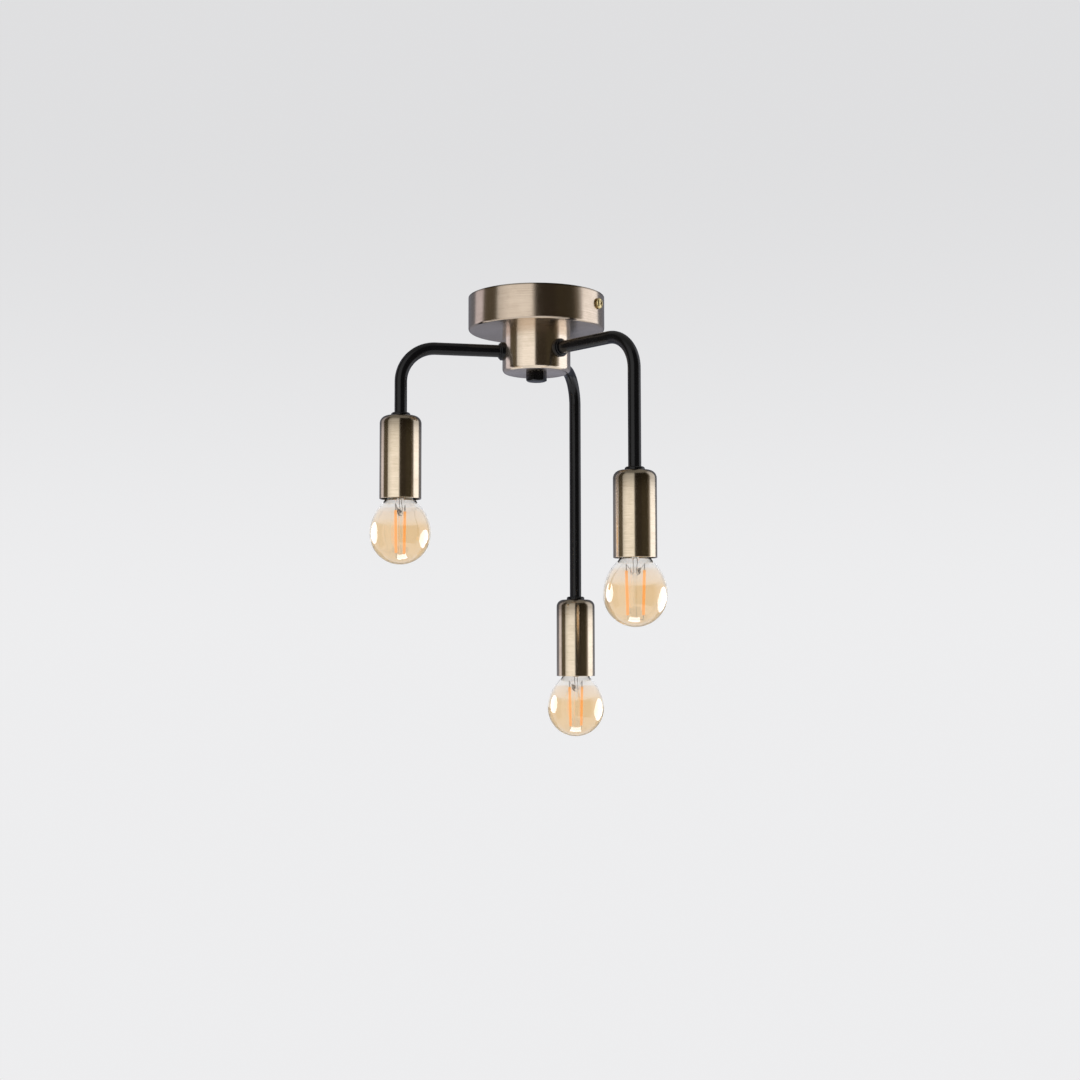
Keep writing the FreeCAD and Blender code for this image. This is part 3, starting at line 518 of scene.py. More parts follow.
def end_tree(tree, given, result):
    """Make a tree's result a plain mesh of the given material and put it out."""
    real = add_node(tree, "GeometryNodeRealizeInstances", {0: result})
    finish = add_node(tree, "GeometryNodeSetMaterial", {
        "Geometry": real.outputs[0], "Material": given.outputs["Material"],
    })
    add_node(tree, "NodeGroupOutput", {0: finish.outputs[0]})
    return tree


def repeat_tree(name):
    """Geometry Nodes that repeat a mesh round the Z axis and give the copies one material."""
    tree, given = new_tree(name, Copies="Int")
    points = add_node(tree, "GeometryNodePoints", {"Count": given.outputs["Copies"]})
    index = add_node(tree, "GeometryNodeInputIndex")
    step = add_node(tree, "ShaderNodeMath", {
        0: 2 * math.pi, 1: given.outputs["Copies"],
    }, operation="DIVIDE")
    turn = add_node(tree, "ShaderNodeMath", {0: index.outputs[0], 1: step.outputs[0]}, operation="MULTIPLY")
    about_z = add_node(tree, "ShaderNodeCombineXYZ", {"Z": turn.outputs[0]})
    copies = add_node(tree, "GeometryNodeInstanceOnPoints", {
        "Points": points.outputs[0], "Instance": given.outputs["Geometry"], "Rotation": about_z.outputs[0],
    })
    return end_tree(tree, given, copies.outputs[0])


def use_tree(piece, tree, **values):
    """Run a tree on a piece with its named inputs and keep the result as a plain mesh."""
    modifier = piece.modifiers.new(tree.name, "NODES")
    modifier.node_group = tree
    for item in tree.interface.items_tree:
        if item.in_out == "INPUT" and item.name in values:
            modifier[item.identifier] = values[item.name]
    plain_mesh(piece)


round_repeat = repeat_tree("repeat_round_axis")
screw_length = 0.0080
screw_radius = 0.0020
screw_head_radius = 0.0040
screw_head_height = 0.0026
screw_neck_radius = 0.0030
screw_neck_height = 0.0008
side_screws = turned("canopy_side_screws", rounded((
    (0.0, -screw_length),
    (screw_radius, -screw_length, 0.0003),
    (screw_radius, 0.0),
    (screw_neck_radius, 0.0),
    (screw_neck_radius, screw_neck_height),
    (screw_head_radius, screw_neck_height, 0.0002),
    (screw_head_radius, screw_head_height, 0.0015),
    (0.0, screw_head_height),
)), steps=64)
screw_brass = brushed_brass("screw_brass", (0.86, 0.72, 0.40), (0.60, 0.47, 0.20), 0.22)
side_screws.data.materials.append(screw_brass)
recess_width = 0.0011
recess_length = 0.0052
recess_depth = 0.0013
recess_floor_share = 0.45
recess_turn = math.radians(35)
for quarter in (0, 1):
    slot = bmesh.new()
    size = (recess_length, recess_width, 2 * recess_depth)
    bmesh.ops.create_cube(slot, size=1.0, matrix=Matrix.Diagonal((*size, 1)))
    for vertex in slot.verts:
        if vertex.co.z < 0:
            vertex.co.x *= recess_floor_share
    turn = Matrix.Rotation(recess_turn + quarter * math.pi / 2, 4, "Z")
    bmesh.ops.transform(slot, matrix=Matrix.Translation((0, 0, screw_head_height)) @ turn, verts=slot.verts)
    mesh = bpy.data.meshes.new("recess")
    slot.to_mesh(mesh)
    slot.free()
    cutter = show("recess", mesh)
    cut = side_screws.modifiers.new("recess", "BOOLEAN")
    cut.operation = "DIFFERENCE"
    cut.object = cutter
    plain_mesh(side_screws)
    bpy.data.objects.remove(cutter)
laid_out = Matrix.Translation((canopy_radius, 0, side_screw_level)) @ Matrix.Rotation(math.pi / 2, 4, "Y")
side_screws.data.transform(laid_out)
use_tree(side_screws, round_repeat, Copies=2, Material=screw_brass)
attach(side_screws, "light")
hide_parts("canopy_side_screws")


# ---------------------------------------------------------------- hub
# A deep turned cup of the same brass under the canopy, brushed round, with a soft
# lower edge. The three arms enter through its wall and the cap nut closes it below.

hub_low, hub_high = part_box("hub")
hub_radius = (hub_high.y - hub_low.y) / 2
hub_wall = 0.0015
hub_edge = 0.0030
arm_radius = 0.0045
arm_level = (hub_low.z + hub_high.z) / 2
hub = turned("hub", rounded((
    (tube_hole, hub_low.z),
    (hub_radius, hub_low.z, hub_edge),
    (hub_radius, hub_high.z),
    (hub_radius - hub_wall, hub_high.z),
    (hub_radius - hub_wall, hub_low.z + hub_wall, hub_edge - hub_wall),
    (tube_hole, hub_low.z + hub_wall),
)), steps=192)
hub_brass = brushed_brass("hub_brass", (0.90, 0.77, 0.63), (0.64, 0.53, 0.40), 0.17)
hub.data.materials.append(hub_brass)
arm_places = {}
for name in arm_names:
    collar_low, collar_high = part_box(f"cup_collar_{name}")
    axis = (collar_low + collar_high) / 2
    cup_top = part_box(f"lamp_cup_{name}")[1].z
    arm_places[name] = (math.atan2(axis.y, axis.x), Vector((axis.x, axis.y, 0)).length, cup_top)
arm_hole = arm_radius + 0.0001
drill_reach = hub_radius * 1.2
hub_holes = []
for heading, _, _ in arm_places.values():
    outside = (drill_reach * math.cos(heading), drill_reach * math.sin(heading), arm_level)
    hub_holes.append(((0, 0, arm_level), outside, arm_hole))
drill(hub, hub_holes)
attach(hub, "light")
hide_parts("hub")


# ---------------------------------------------------------------- hub cap nut
# A closed hexagon nut on the centre tube's lower end. Steel, chamfered on the lathe
# and lacquered black like the arms, it clamps hub and canopy together.

def tidy_copy(name, *nodes, bevel=0.0):
    """The nodes' own shapes as one clean mesh: corners joined, flats whole, edges broken."""
    body = bmesh.new()
    for node in nodes:
        body.from_mesh(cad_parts[node].data)
    bmesh.ops.remove_doubles(body, verts=body.verts, dist=1e-6)
    bmesh.ops.dissolve_limit(body, angle_limit=math.radians(1.0), verts=body.verts, edges=body.edges)
    mesh = bpy.data.meshes.new(name)
    body.to_mesh(mesh)
    body.free()
    piece = show(name, mesh)
    if bevel:
        edges = piece.modifiers.new("broken_edges", "BEVEL")
        edges.width = bevel
        edges.segments = 2
        edges.limit_method = "ANGLE"
        edges.angle_limit = math.radians(40)
    plain_mesh(piece)
    piece.data.materials.clear()
    return piece


def lacquer(name, colour, roughness, peel):
    """Sprayed lacquer: an even satin colour with a fine orange peel and a few dull patches."""
    made, tree = new_paint(name)
    place = add_node(tree, "ShaderNodeTexCoord")
    skin = add_node(tree, "ShaderNodeTexNoise", {
        "Vector": place.outputs["Object"], "Scale": 1400.0, "Detail": 2.0, "Roughness": 0.5,
    })
    patches = add_node(tree, "ShaderNodeTexNoise", {
        "Vector": place.outputs["Object"], "Scale": 60.0, "Detail": 5.0, "Roughness": 0.6,
    })
    shade = add_node(tree, "ShaderNodeValToRGB", {"Fac": patches.outputs["Fac"]})
    set_stops(shade, ((0.3, tuple(c * 0.8 for c in colour)), (0.75, tuple(c * 1.25 for c in colour))))
    gloss = add_node(tree, "ShaderNodeMapRange", {
        "Value": patches.outputs["Fac"], "From Min": 0.3, "From Max": 0.7,
        "To Min": roughness - 0.01, "To Max": roughness + 0.02,
    })
    dent = add_node(tree, "ShaderNodeBump", {
        "Height": skin.outputs["Fac"], "Strength": peel, "Distance": 0.00001,
    })
    paint = add_node(tree, "ShaderNodeBsdfPrincipled", {
        "Base Color": shade.outputs["Color"], "Roughness": gloss.outputs["Result"],
        "Specular IOR Level": 0.32, "Normal": dent.outputs["Normal"],
    })
    add_node(tree, "ShaderNodeOutputMaterial", {"Surface": paint.outputs[0]})
    return made


black_lacquer = lacquer("black_lacquer", (0.005, 0.005, 0.0058), 0.20, 0.10)
nut_turn = math.radians(-17.9)
nut_width_share = 0.95
cap_nut = tidy_copy("hub_cap_nut", "hub_cap_nut", bevel=0.00035)
narrower = Matrix.Diagonal((nut_width_share, nut_width_share, 1.0, 1.0))
cap_nut.data.transform(Matrix.Rotation(nut_turn, 4, "Z") @ narrower)
cap_nut.data.materials.append(black_lacquer)
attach(cap_nut, "light")
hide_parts("hub_cap_nut")


# ---------------------------------------------------------------- arms
# Three bent steel tubes, lacquered satin black. Each runs level out of the hub and
# turns down in one bend; only the length of the drop differs. The cables run inside.

def tube_tree(name):
    """Geometry Nodes that round a route's corners and sweep a round section along it."""
    tree, given = new_tree(name, **{
        "Bend Radius": "Float", "Bend Steps": "Int", "Tube Radius": "Float", "Sides": "Int",
        "Closed Ends": "Bool",
    })
    route = add_node(tree, "GeometryNodeMeshToCurve", {"Mesh": given.outputs["Geometry"]})
    bent = add_node(tree, "GeometryNodeFilletCurve", {
        "Curve": route.outputs[0], "Radius": given.outputs["Bend Radius"],
        "Count": given.outputs["Bend Steps"], "Limit Radius": False,
    }, mode="POLY")
    section = add_node(tree, "GeometryNodeCurvePrimitiveCircle", {
        "Radius": given.outputs["Tube Radius"], "Resolution": given.outputs["Sides"],
    })
    tube = add_node(tree, "GeometryNodeCurveToMesh", {
        "Curve": bent.outputs[0], "Profile Curve": section.outputs[0],
        "Fill Caps": given.outputs["Closed Ends"],
    })
    return end_tree(tree, given, tube.outputs[0])


def route_of(name, *routes):
    """An object that holds one or more routes as plain edges."""
    points = [point for route in routes for point in route]
    edges = []
    first = 0
    for route in routes:
        edges += [(first + step, first + step + 1) for step in range(len(route) - 1)]
        first += len(route)
    mesh = bpy.data.meshes.new(name)
    mesh.from_pydata(points, edges, [])
    return show(name, mesh)


bent_tube = tube_tree("bent_tube")
arm_wall = 0.0010
arm_bend_radius = 0.0250
arm_inner_end = 0.0182
for name, (heading, reach, cup_top) in arm_places.items():
    arm_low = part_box(f"arm_tube_{name}")[0].z
    outward = Vector((math.cos(heading), math.sin(heading), 0))
    level = Vector((0, 0, arm_level))
    arm = route_of(f"arm_tube_{name}", [
        outward * arm_inner_end + level, outward * reach + level, outward * reach + Vector((0, 0, arm_low)),
    ])
    arm.data.materials.append(black_lacquer)
    values = {"Bend Radius": arm_bend_radius, "Bend Steps": 32, "Tube Radius": arm_radius, "Sides": 48}
    use_tree(arm, bent_tube, Material=black_lacquer, **values)
    wall = arm.modifiers.new("wall", "SOLIDIFY")
    wall.thickness = arm_wall
    wall.offset = -1.0
    plain_mesh(arm)
    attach(arm, "light")
    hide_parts(f"arm_tube_{name}")


# ---------------------------------------------------------------- hub collars
# Stepped steel collars, lacquered black, one where each arm enters the hub. A flange
# hollowed to the hub's curve sits on its wall, and a short boss steps down to the tube.

collar_flange_radius = 0.0067
collar_flange_length = 0.0022
collar_boss_radius = 0.0057
collar_length = 0.0032
collar_rounding = 0.0007
hub_collars = turned("hub_collars", rounded((
    (arm_radius, hub_radius - hub_wall),
    (collar_flange_radius, hub_radius - hub_wall),
    (collar_flange_radius, hub_radius + collar_flange_length, collar_rounding),
    (collar_boss_radius, hub_radius + collar_flange_length),
    (collar_boss_radius, hub_radius + collar_length, collar_rounding),
    (arm_radius, hub_radius + collar_length),
)), steps=64)
hub_collars.data.materials.append(black_lacquer)
first_heading = arm_places["right"][0]
raised = Matrix.Translation((0, 0, arm_level))
laid_down = Matrix.Rotation(math.pi / 2, 4, "Y")
hub_collars.data.transform(Matrix.Rotation(first_heading, 4, "Z") @ raised @ laid_down)
saddle_radius = hub_radius - 0.0001
past_hub = 0.01
drill(hub_collars, [((0, 0, hub_low.z - past_hub), (0, 0, hub_high.z + past_hub), saddle_radius)])
use_tree(hub_collars, round_repeat, Copies=3, Material=black_lacquer)
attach(hub_collars, "light")
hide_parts(*[f"hub_collar_{name}" for name in arm_places])


# ---------------------------------------------------------------- lamp cups
# Deep cups drawn from thin brass, slim and straight, with a round shoulder and an
# open mouth. Brushed round like the hub, in a slightly yellower antique finish.

def hang(pattern, name, heading, reach, cup_top, turn=0.0):
    """A copy of a pattern built about its cup's top centre, hung in its place on an arm."""
    mesh = pattern.data.copy()
    place = Matrix.Rotation(heading, 4, "Z") @ Matrix.Translation((reach, 0, cup_top))
    mesh.transform(place @ Matrix.Rotation(turn, 4, "Z"))
    return show(name, mesh)


cup_low, cup_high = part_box("lamp_cup_right")
cup_radius = (cup_high.y - cup_low.y) / 2
cup_height = cup_high.z - cup_low.z
cup_wall = 0.0010
cup_shoulder = 0.0055
cup_lip = 0.00035
cup_hole = arm_radius + 0.0001
cup_outline = rounded((
    (cup_hole, -cup_wall),
    (cup_radius - cup_wall, -cup_wall, cup_shoulder - cup_wall),
    (cup_radius - cup_wall, -cup_height, cup_lip),
    (cup_radius, -cup_height, cup_lip),
    (cup_radius, 0.0, cup_shoulder),
    (cup_hole, 0.0),
))
cup = turned("cup_pattern", cup_outline, steps=192)
lengths = outline_lengths(cup_outline)
lowest = min(range(len(cup_outline)), key=lambda index: cup_outline[index].y - cup_outline[index].x)
mouth = lengths[lowest]
crown = lengths[-1] - lengths[1]
cup_painted_shade = (
    # painted shade: dark inside up to the mouth, full on the side, darker over the shoulder
    (0.0, 0.10), (mouth - 0.0012, 0.10), (mouth - 0.0003, 1.0), (crown - 0.0320, 1.0),
    (crown - 0.0200, 0.88), (crown - 0.0140, 0.66), (crown - 0.0105, 0.46), (crown, 0.42),
)
cup_brass = brushed_brass(
    "cup_brass", (0.88, 0.75, 0.58), (0.60, 0.49, 0.34), 0.18, cup_painted_shade, lengths[-1],
)
cup.data.materials.append(cup_brass)
for name, place in arm_places.items():
    lamp_cup = hang(cup, f"lamp_cup_{name}", *place)
    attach(lamp_cup, "light")
    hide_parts(f"lamp_cup_{name}")
bpy.data.objects.remove(cup)


# ---------------------------------------------------------------- cup collars
# Chamfered steel rings, lacquered black, screwed down on each arm above its cup. Each
# clamps the cup's top to the lampholder inside it.

cup_collar_radius = 0.0069
cup_collar_height = 0.0023
cup_collar_chamfer = 0.0008
collar = turned("collar_pattern", rounded((
    (arm_radius, 0.0),
    (cup_collar_radius, 0.0, 0.0002),
    (cup_collar_radius, cup_collar_height - cup_collar_chamfer, 0.0002),
    (cup_collar_radius - cup_collar_chamfer, cup_collar_height, 0.0002),
    (arm_radius, cup_collar_height),
), arc_steps=4), steps=96)
collar.data.materials.append(black_lacquer)
for name, place in arm_places.items():
    cup_collar = hang(collar, f"cup_collar_{name}", *place)
    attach(cup_collar, "light")
    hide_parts(f"cup_collar_{name}")
bpy.data.objects.remove(collar)


# ---------------------------------------------------------------- lampholders
# A black moulded body in each cup, with two brass terminals above its partition and
# a thin threaded brass shell and a sprung contact below it for the bulb's cap.

def moulded(name, colour, roughness, grain):
    """Moulded plastic, rubber or ceramic: even colour with a faint mottle and a fine grain."""
    made, tree = new_paint(name)
    place = add_node(tree, "ShaderNodeTexCoord")
    mottle = add_node(tree, "ShaderNodeTexNoise", {
        "Vector": place.outputs["Object"], "Scale": 180.0, "Detail": 4.0, "Roughness": 0.6,
    })
    fine = add_node(tree, "ShaderNodeTexNoise", {
        "Vector": place.outputs["Object"], "Scale": 3500.0, "Detail": 2.0,
    })
    shade = add_node(tree, "ShaderNodeValToRGB", {"Fac": mottle.outputs["Fac"]})
    darker = tuple(channel * 0.85 for channel in colour)
    lighter = tuple(min(channel * 1.15, 1) for channel in colour)
    set_stops(shade, ((0.3, darker), (0.7, lighter)))
    gloss = add_node(tree, "ShaderNodeMapRange", {
        "Value": mottle.outputs["Fac"], "From Min": 0.3, "From Max": 0.7,
        "To Min": roughness - 0.05, "To Max": roughness + 0.05,
    })
    dent = add_node(tree, "ShaderNodeBump", {
        "Height": fine.outputs["Fac"], "Strength": grain, "Distance": 0.00002,
    })
    paint = add_node(tree, "ShaderNodeBsdfPrincipled", {
        "Base Color": shade.outputs["Color"], "Roughness": gloss.outputs["Result"],
        "Normal": dent.outputs["Normal"],
    })
    add_node(tree, "ShaderNodeOutputMaterial", {"Surface": paint.outputs[0]})
    return made


def plain_metal(name, bright, dark, roughness):
    """Bare or plated metal as it comes from the press: stained, with fine scratches."""
    made, tree = new_paint(name)
    place = add_node(tree, "ShaderNodeTexCoord")
    stain = add_node(tree, "ShaderNodeTexNoise", {
        "Vector": place.outputs["Object"], "Scale": 120.0, "Detail": 6.0, "Roughness": 0.65,
    })
    pulled = add_node(tree, "ShaderNodeMapping", {
        "Vector": place.outputs["Object"], "Scale": (300.0, 300.0, 4000.0),
    })
    scratches = add_node(tree, "ShaderNodeTexNoise", {
        "Vector": pulled.outputs[0], "Scale": 1.0, "Detail": 4.0,
    })
    tint = add_node(tree, "ShaderNodeValToRGB", {"Fac": stain.outputs["Fac"]})
    set_stops(tint, ((0.35, dark), (0.6, bright)))
    gloss = add_node(tree, "ShaderNodeMapRange", {
        "Value": stain.outputs["Fac"], "From Min": 0.3, "From Max": 0.7,
        "To Min": roughness + 0.08, "To Max": roughness - 0.05,
    })
    dent = add_node(tree, "ShaderNodeBump", {
        "Height": scratches.outputs["Fac"], "Strength": 0.15, "Distance": 0.00003,
    })
    metal = add_node(tree, "ShaderNodeBsdfPrincipled", {
        "Base Color": tint.outputs["Color"], "Metallic": 1.0, "Roughness": gloss.outputs["Result"],
        "Normal": dent.outputs["Normal"],
    })
    add_node(tree, "ShaderNodeOutputMaterial", {"Surface": metal.outputs[0]})
    return made


holder_low, holder_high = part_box("lampholder_body_right")
holder_radius = (holder_high.y - holder_low.y) / 2
holder_length = holder_high.z - holder_low.z
holder_bore = 0.0095
holder_top = -cup_wall
chamber_radius = 0.0100
chamber_top = -0.0080
chamber_floor = -0.0200
partition_face = -0.0240
holder_mouth = holder_top - holder_length
body = turned("holder_pattern", rounded((
    (arm_radius, holder_top),
    (arm_radius, chamber_top),
    (chamber_radius, chamber_top),
    (chamber_radius, chamber_floor),
    (0.0, chamber_floor),
    (0.0, partition_face),
    (holder_bore, partition_face),
    (holder_bore, holder_mouth, 0.0005),
    (holder_radius, holder_mouth, 0.0005),
    (holder_radius, holder_top, 0.0045),
)), steps=128)
holder_black = moulded("holder_black", (0.014, 0.013, 0.013), 0.38, 0.2)
body.data.materials.append(holder_black)
contact_brass = plain_metal("contact_brass", (0.80, 0.62, 0.30), (0.55, 0.40, 0.18), 0.30)
for name, place in arm_places.items():
    lampholder = hang(body, f"lampholder_body_{name}", *place)
    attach(lampholder, "light")
    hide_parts(f"lampholder_body_{name}")
    for part in ("shell", "contact"):
        pressing = tidy_copy(f"lampholder_{part}_brass_{name}", f"lampholder_{part}_{name}")
        pressing.data.materials.append(contact_brass)
        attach(pressing, "light")
        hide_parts(f"lampholder_{part}_{name}")
bpy.data.objects.remove(body)
terminals = tidy_copy("lampholder_terminal_blocks", "lampholder_terminals", bevel=0.0002)
terminals.data.materials.append(contact_brass)
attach(terminals, "light")
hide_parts("lampholder_terminals")


# ---------------------------------------------------------------- bulb glass
# Golf-ball bulbs of blown glass, one thin wall throughout. The ball is coated amber
# inside; the coating thins out to clear glass at the neck, which the cap grips.

def arc(centre, radius, start, end, steps):
    """Points on an arc in the plane of an outline, angles in degrees."""
    angles = [math.radians(start + (end - start) * step / steps) for step in range(steps + 1)]
    return [Vector((centre[0] + radius * math.cos(a), centre[1] + radius * math.sin(a))) for a in angles]


def bulb_outline(inset):
    """The glass profile from the bottom up to the neck, moved inward by an inset."""
    ball = bulb_radius - inset
    points = arc((0, ball_centre), ball, -90, 0, 40)
    shoulder_centre = (bulb_radius - shoulder_radius, ball_centre)
    points += arc(shoulder_centre, shoulder_radius - inset, 0, join_angle, 20)[1:]
    hollow_centre = (neck_radius + hollow_radius, neck_start)
    points += arc(hollow_centre, hollow_radius + inset, 180 + join_angle, 180, 16)[1:]
    return points


glass_low, glass_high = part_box("bulb_glass_right")
bulb_radius = (glass_high.y - glass_low.y) / 2
right_cup_top = arm_places["right"][2]
ball_centre = glass_low.z + bulb_radius - right_cup_top
neck_top = glass_high.z - right_cup_top
glass_wall = 0.0008
neck_radius = 0.0080
hollow_radius = 0.0148
neck_start = neck_top - 0.0009
neck_rise = neck_start - ball_centre
step_in = bulb_radius - neck_radius
both_radii = (neck_rise ** 2 + step_in ** 2) / (2 * step_in)
shoulder_radius = both_radii - hollow_radius
join_angle = math.degrees(math.atan2(neck_rise, both_radii - step_in))
outer = bulb_outline(0.0) + [Vector((neck_radius, neck_top))]
inner = bulb_outline(glass_wall) + [Vector((neck_radius - glass_wall, neck_top))]
envelope = turned("envelope_pattern", outer + inner[::-1], steps=160)

coating_start = -0.0668
coating_full = -0.0800
coating = envelope.data.attributes.new("coating", "FLOAT", "POINT")
for vertex, value in zip(envelope.data.vertices, coating.data):
    share = (coating_start - vertex.co.z) / (coating_start - coating_full)
    value.value = min(max(share, 0.0), 1.0)

amber_glass, tree = new_paint("amber_glass")
coat = add_node(tree, "ShaderNodeAttribute", attribute_name="coating")
tint = add_node(tree, "ShaderNodeValToRGB", {"Fac": coat.outputs["Fac"]})
set_stops(tint, (
    (0.0, (1.0, 1.0, 1.0)), (0.09, (0.995, 0.92, 0.84)),
    (0.65, (0.99, 0.89, 0.76)), (1.0, (0.985, 0.825, 0.60)),
))
place = add_node(tree, "ShaderNodeTexCoord")
ripple = add_node(tree, "ShaderNodeTexNoise", {
    "Vector": place.outputs["Object"], "Scale": 55.0, "Detail": 2.0,
})
dent = add_node(tree, "ShaderNodeBump", {
    "Height": ripple.outputs["Fac"], "Strength": 0.008, "Distance": 0.0004,
})
glass = add_node(tree, "ShaderNodeBsdfPrincipled", {
    "Base Color": tint.outputs["Color"], "Roughness": 0.0, "IOR": 1.5, "Transmission Weight": 1.0,
    "Coat Weight": 1.0, "Coat Roughness": 0.0, "Coat IOR": 1.7, "Normal": dent.outputs["Normal"],
})
add_node(tree, "ShaderNodeOutputMaterial", {"Surface": glass.outputs[0]})
envelope.data.materials.append(amber_glass)
bulb_turns = {"right": math.radians(22.7), "back": math.radians(-31), "left": math.radians(52.6)}
for name, place in arm_places.items():
    bulb_glass = hang(envelope, f"bulb_glass_{name}", *place, bulb_turns[name])
    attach(bulb_glass, f"bulb_{name}")
    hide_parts(f"bulb_glass_{name}")
bpy.data.objects.remove(envelope)


# ---------------------------------------------------------------- bulb stem
# A clear glass tube, flared to the neck, pinched flat round the lead wires and drawn
# out below into the rod that stands between the filaments.

stem_top = neck_top - 0.0015
flare_radius = 0.0068
stem_radius = 0.0030
stem_bore = 0.0018
flare_length = 0.0040
press_top = ball_centre + 0.0210
press_bottom = ball_centre + 0.0134
press_half_width = 0.00375
press_half_depth = 0.0013
press_shoulder = 0.0030
flare_wall = 0.0009
rod_radius = 0.0012
rod_end = ball_centre - 0.0160
stem = turned("stem_pattern", rounded((
    (0.0, rod_end),
    (rod_radius, rod_end, 0.0009),
    (rod_radius, press_bottom, 0.0008),
    (press_half_width, press_bottom, 0.0020),
    (press_half_width, press_top - press_shoulder, 0.0016),
    (stem_radius, press_top, 0.0010),
    (stem_radius, stem_top - flare_length, 0.0035),
    (flare_radius, stem_top),
    (flare_radius - flare_wall, stem_top),
    (stem_bore, stem_top - flare_length, 0.0030),
    (stem_bore, press_top + stem_radius, 0.0006),
    (0.0, press_top + stem_radius),
)), steps=64)
pinch_share = 0.8
pinch_length = (press_top - press_bottom) * pinch_share
for vertex in stem.data.vertices:
    away = math.hypot(vertex.co.x, vertex.co.y)
    if vertex.co.z < press_top and away > press_half_depth:
        pinch = min((press_top - vertex.co.z) / pinch_length, 1.0)
        vertex.co.y *= 1 - (1 - press_half_depth / away) * pinch
stem_glass, tree = new_paint("stem_glass")
place = add_node(tree, "ShaderNodeTexCoord")
ripple = add_node(tree, "ShaderNodeTexNoise", {
    "Vector": place.outputs["Object"], "Scale": 260.0, "Detail": 2.0,
})
dent = add_node(tree, "ShaderNodeBump", {
    "Height": ripple.outputs["Fac"], "Strength": 0.3, "Distance": 0.0002,
})
glass = add_node(tree, "ShaderNodeBsdfPrincipled", {
    "Base Color": (1.0, 1.0, 1.0, 1), "Roughness": 0.0, "IOR": 1.5, "Transmission Weight": 1.0,
    "Normal": dent.outputs["Normal"],
})
add_node(tree, "ShaderNodeOutputMaterial", {"Surface": glass.outputs[0]})
stem.data.materials.append(stem_glass)
for name, place in arm_places.items():
    bulb_stem = hang(stem, f"bulb_stem_{name}", *place, bulb_turns[name])
    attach(bulb_stem, f"bulb_{name}")
    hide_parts(f"bulb_stem_{name}")
bpy.data.objects.remove(stem)


# ---------------------------------------------------------------- filaments
# Two slim rods per bulb, coated in orange phosphor over a row of tiny chips, with the
# coating lumpy over each chip. They lean together slightly towards the bottom.

def filament_tree(name):
    """Geometry Nodes that turn a straight line into a coated rod with a lump per chip."""
    tree, given = new_tree(name, **{"Chips": "Int", "Rod Radius": "Float", "Lump": "Float"})
    points_a_chip = 6.0
    line = add_node(tree, "GeometryNodeMeshToCurve", {"Mesh": given.outputs["Geometry"]})
    count = add_node(tree, "ShaderNodeMath", {
        0: given.outputs["Chips"], 1: points_a_chip,
    }, operation="MULTIPLY")
    fine = add_node(tree, "GeometryNodeResampleCurve", {
        "Curve": line.outputs[0], "Count": count.outputs[0],
    })
    along = add_node(tree, "GeometryNodeSplineParameter")
    turns = add_node(tree, "ShaderNodeMath", {
        0: given.outputs["Chips"], 1: 2 * math.pi,
    }, operation="MULTIPLY")
    phase = add_node(tree, "ShaderNodeMath", {
        0: along.outputs["Factor"], 1: turns.outputs[0],
    }, operation="MULTIPLY")
    wave = add_node(tree, "ShaderNodeMath", {0: phase.outputs[0]}, operation="COSINE")
    lump = add_node(tree, "ShaderNodeMath", {
        0: wave.outputs[0], 1: given.outputs["Lump"],
    }, operation="MULTIPLY")
    full = add_node(tree, "ShaderNodeMath", {
        0: given.outputs["Rod Radius"], 1: given.outputs["Lump"],
    }, operation="SUBTRACT")
    body = add_node(tree, "ShaderNodeMath", {0: full.outputs[0], 1: lump.outputs[0]}, operation="SUBTRACT")
    section = add_node(tree, "GeometryNodeCurvePrimitiveCircle", {"Radius": 1.0, "Resolution": 24})
    tube = add_node(tree, "GeometryNodeCurveToMesh", {
        "Curve": fine.outputs[0], "Profile Curve": section.outputs[0], "Scale": body.outputs[0],
        "Fill Caps": True,
    })
    return end_tree(tree, given, tube.outputs[0])


filament_top = ball_centre + 0.0164
filament_bottom = filament_top - 0.0304
spread_top = 0.0066
spread_bottom = 0.0057
filament_radius = 0.0010
coating_and_glow_orange = (1.0, 0.43, 0.08)
filament_coating = moulded("filament_coating", coating_and_glow_orange, 0.45, 0.3)
# Painted glow: the coating gives off a little orange light of its own, though the bulb is not lit.
coating_with_painted_glow = filament_coating.node_tree.nodes["Principled BSDF"]
coating_with_painted_glow.inputs["Emission Color"].default_value = (*coating_and_glow_orange, 1)
coating_with_painted_glow.inputs["Emission Strength"].default_value = 0.70
filaments = route_of("filament_pattern", *[
    [Vector((side * spread_bottom, 0, filament_bottom)), Vector((side * spread_top, 0, filament_top))]
    for side in (-1, 1)
])
filaments.data.materials.append(filament_coating)
rod_values = {"Chips": 26, "Rod Radius": filament_radius, "Lump": 0.00004}
use_tree(filaments, filament_tree("coated_filament"), Material=filament_coating, **rod_values)
for name, place in arm_places.items():
    pair = hang(filaments, f"bulb_filaments_{name}", *place, bulb_turns[name])
    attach(pair, f"bulb_{name}")
    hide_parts(f"bulb_filaments_{name}")
bpy.data.objects.remove(filaments)


# ---------------------------------------------------------------- lead wires
# Thin nickel wires that come down through the stem, turn back up inside the pinch and
# are bent down onto the filaments' stouter metal ends. A bridge wire joins them below.

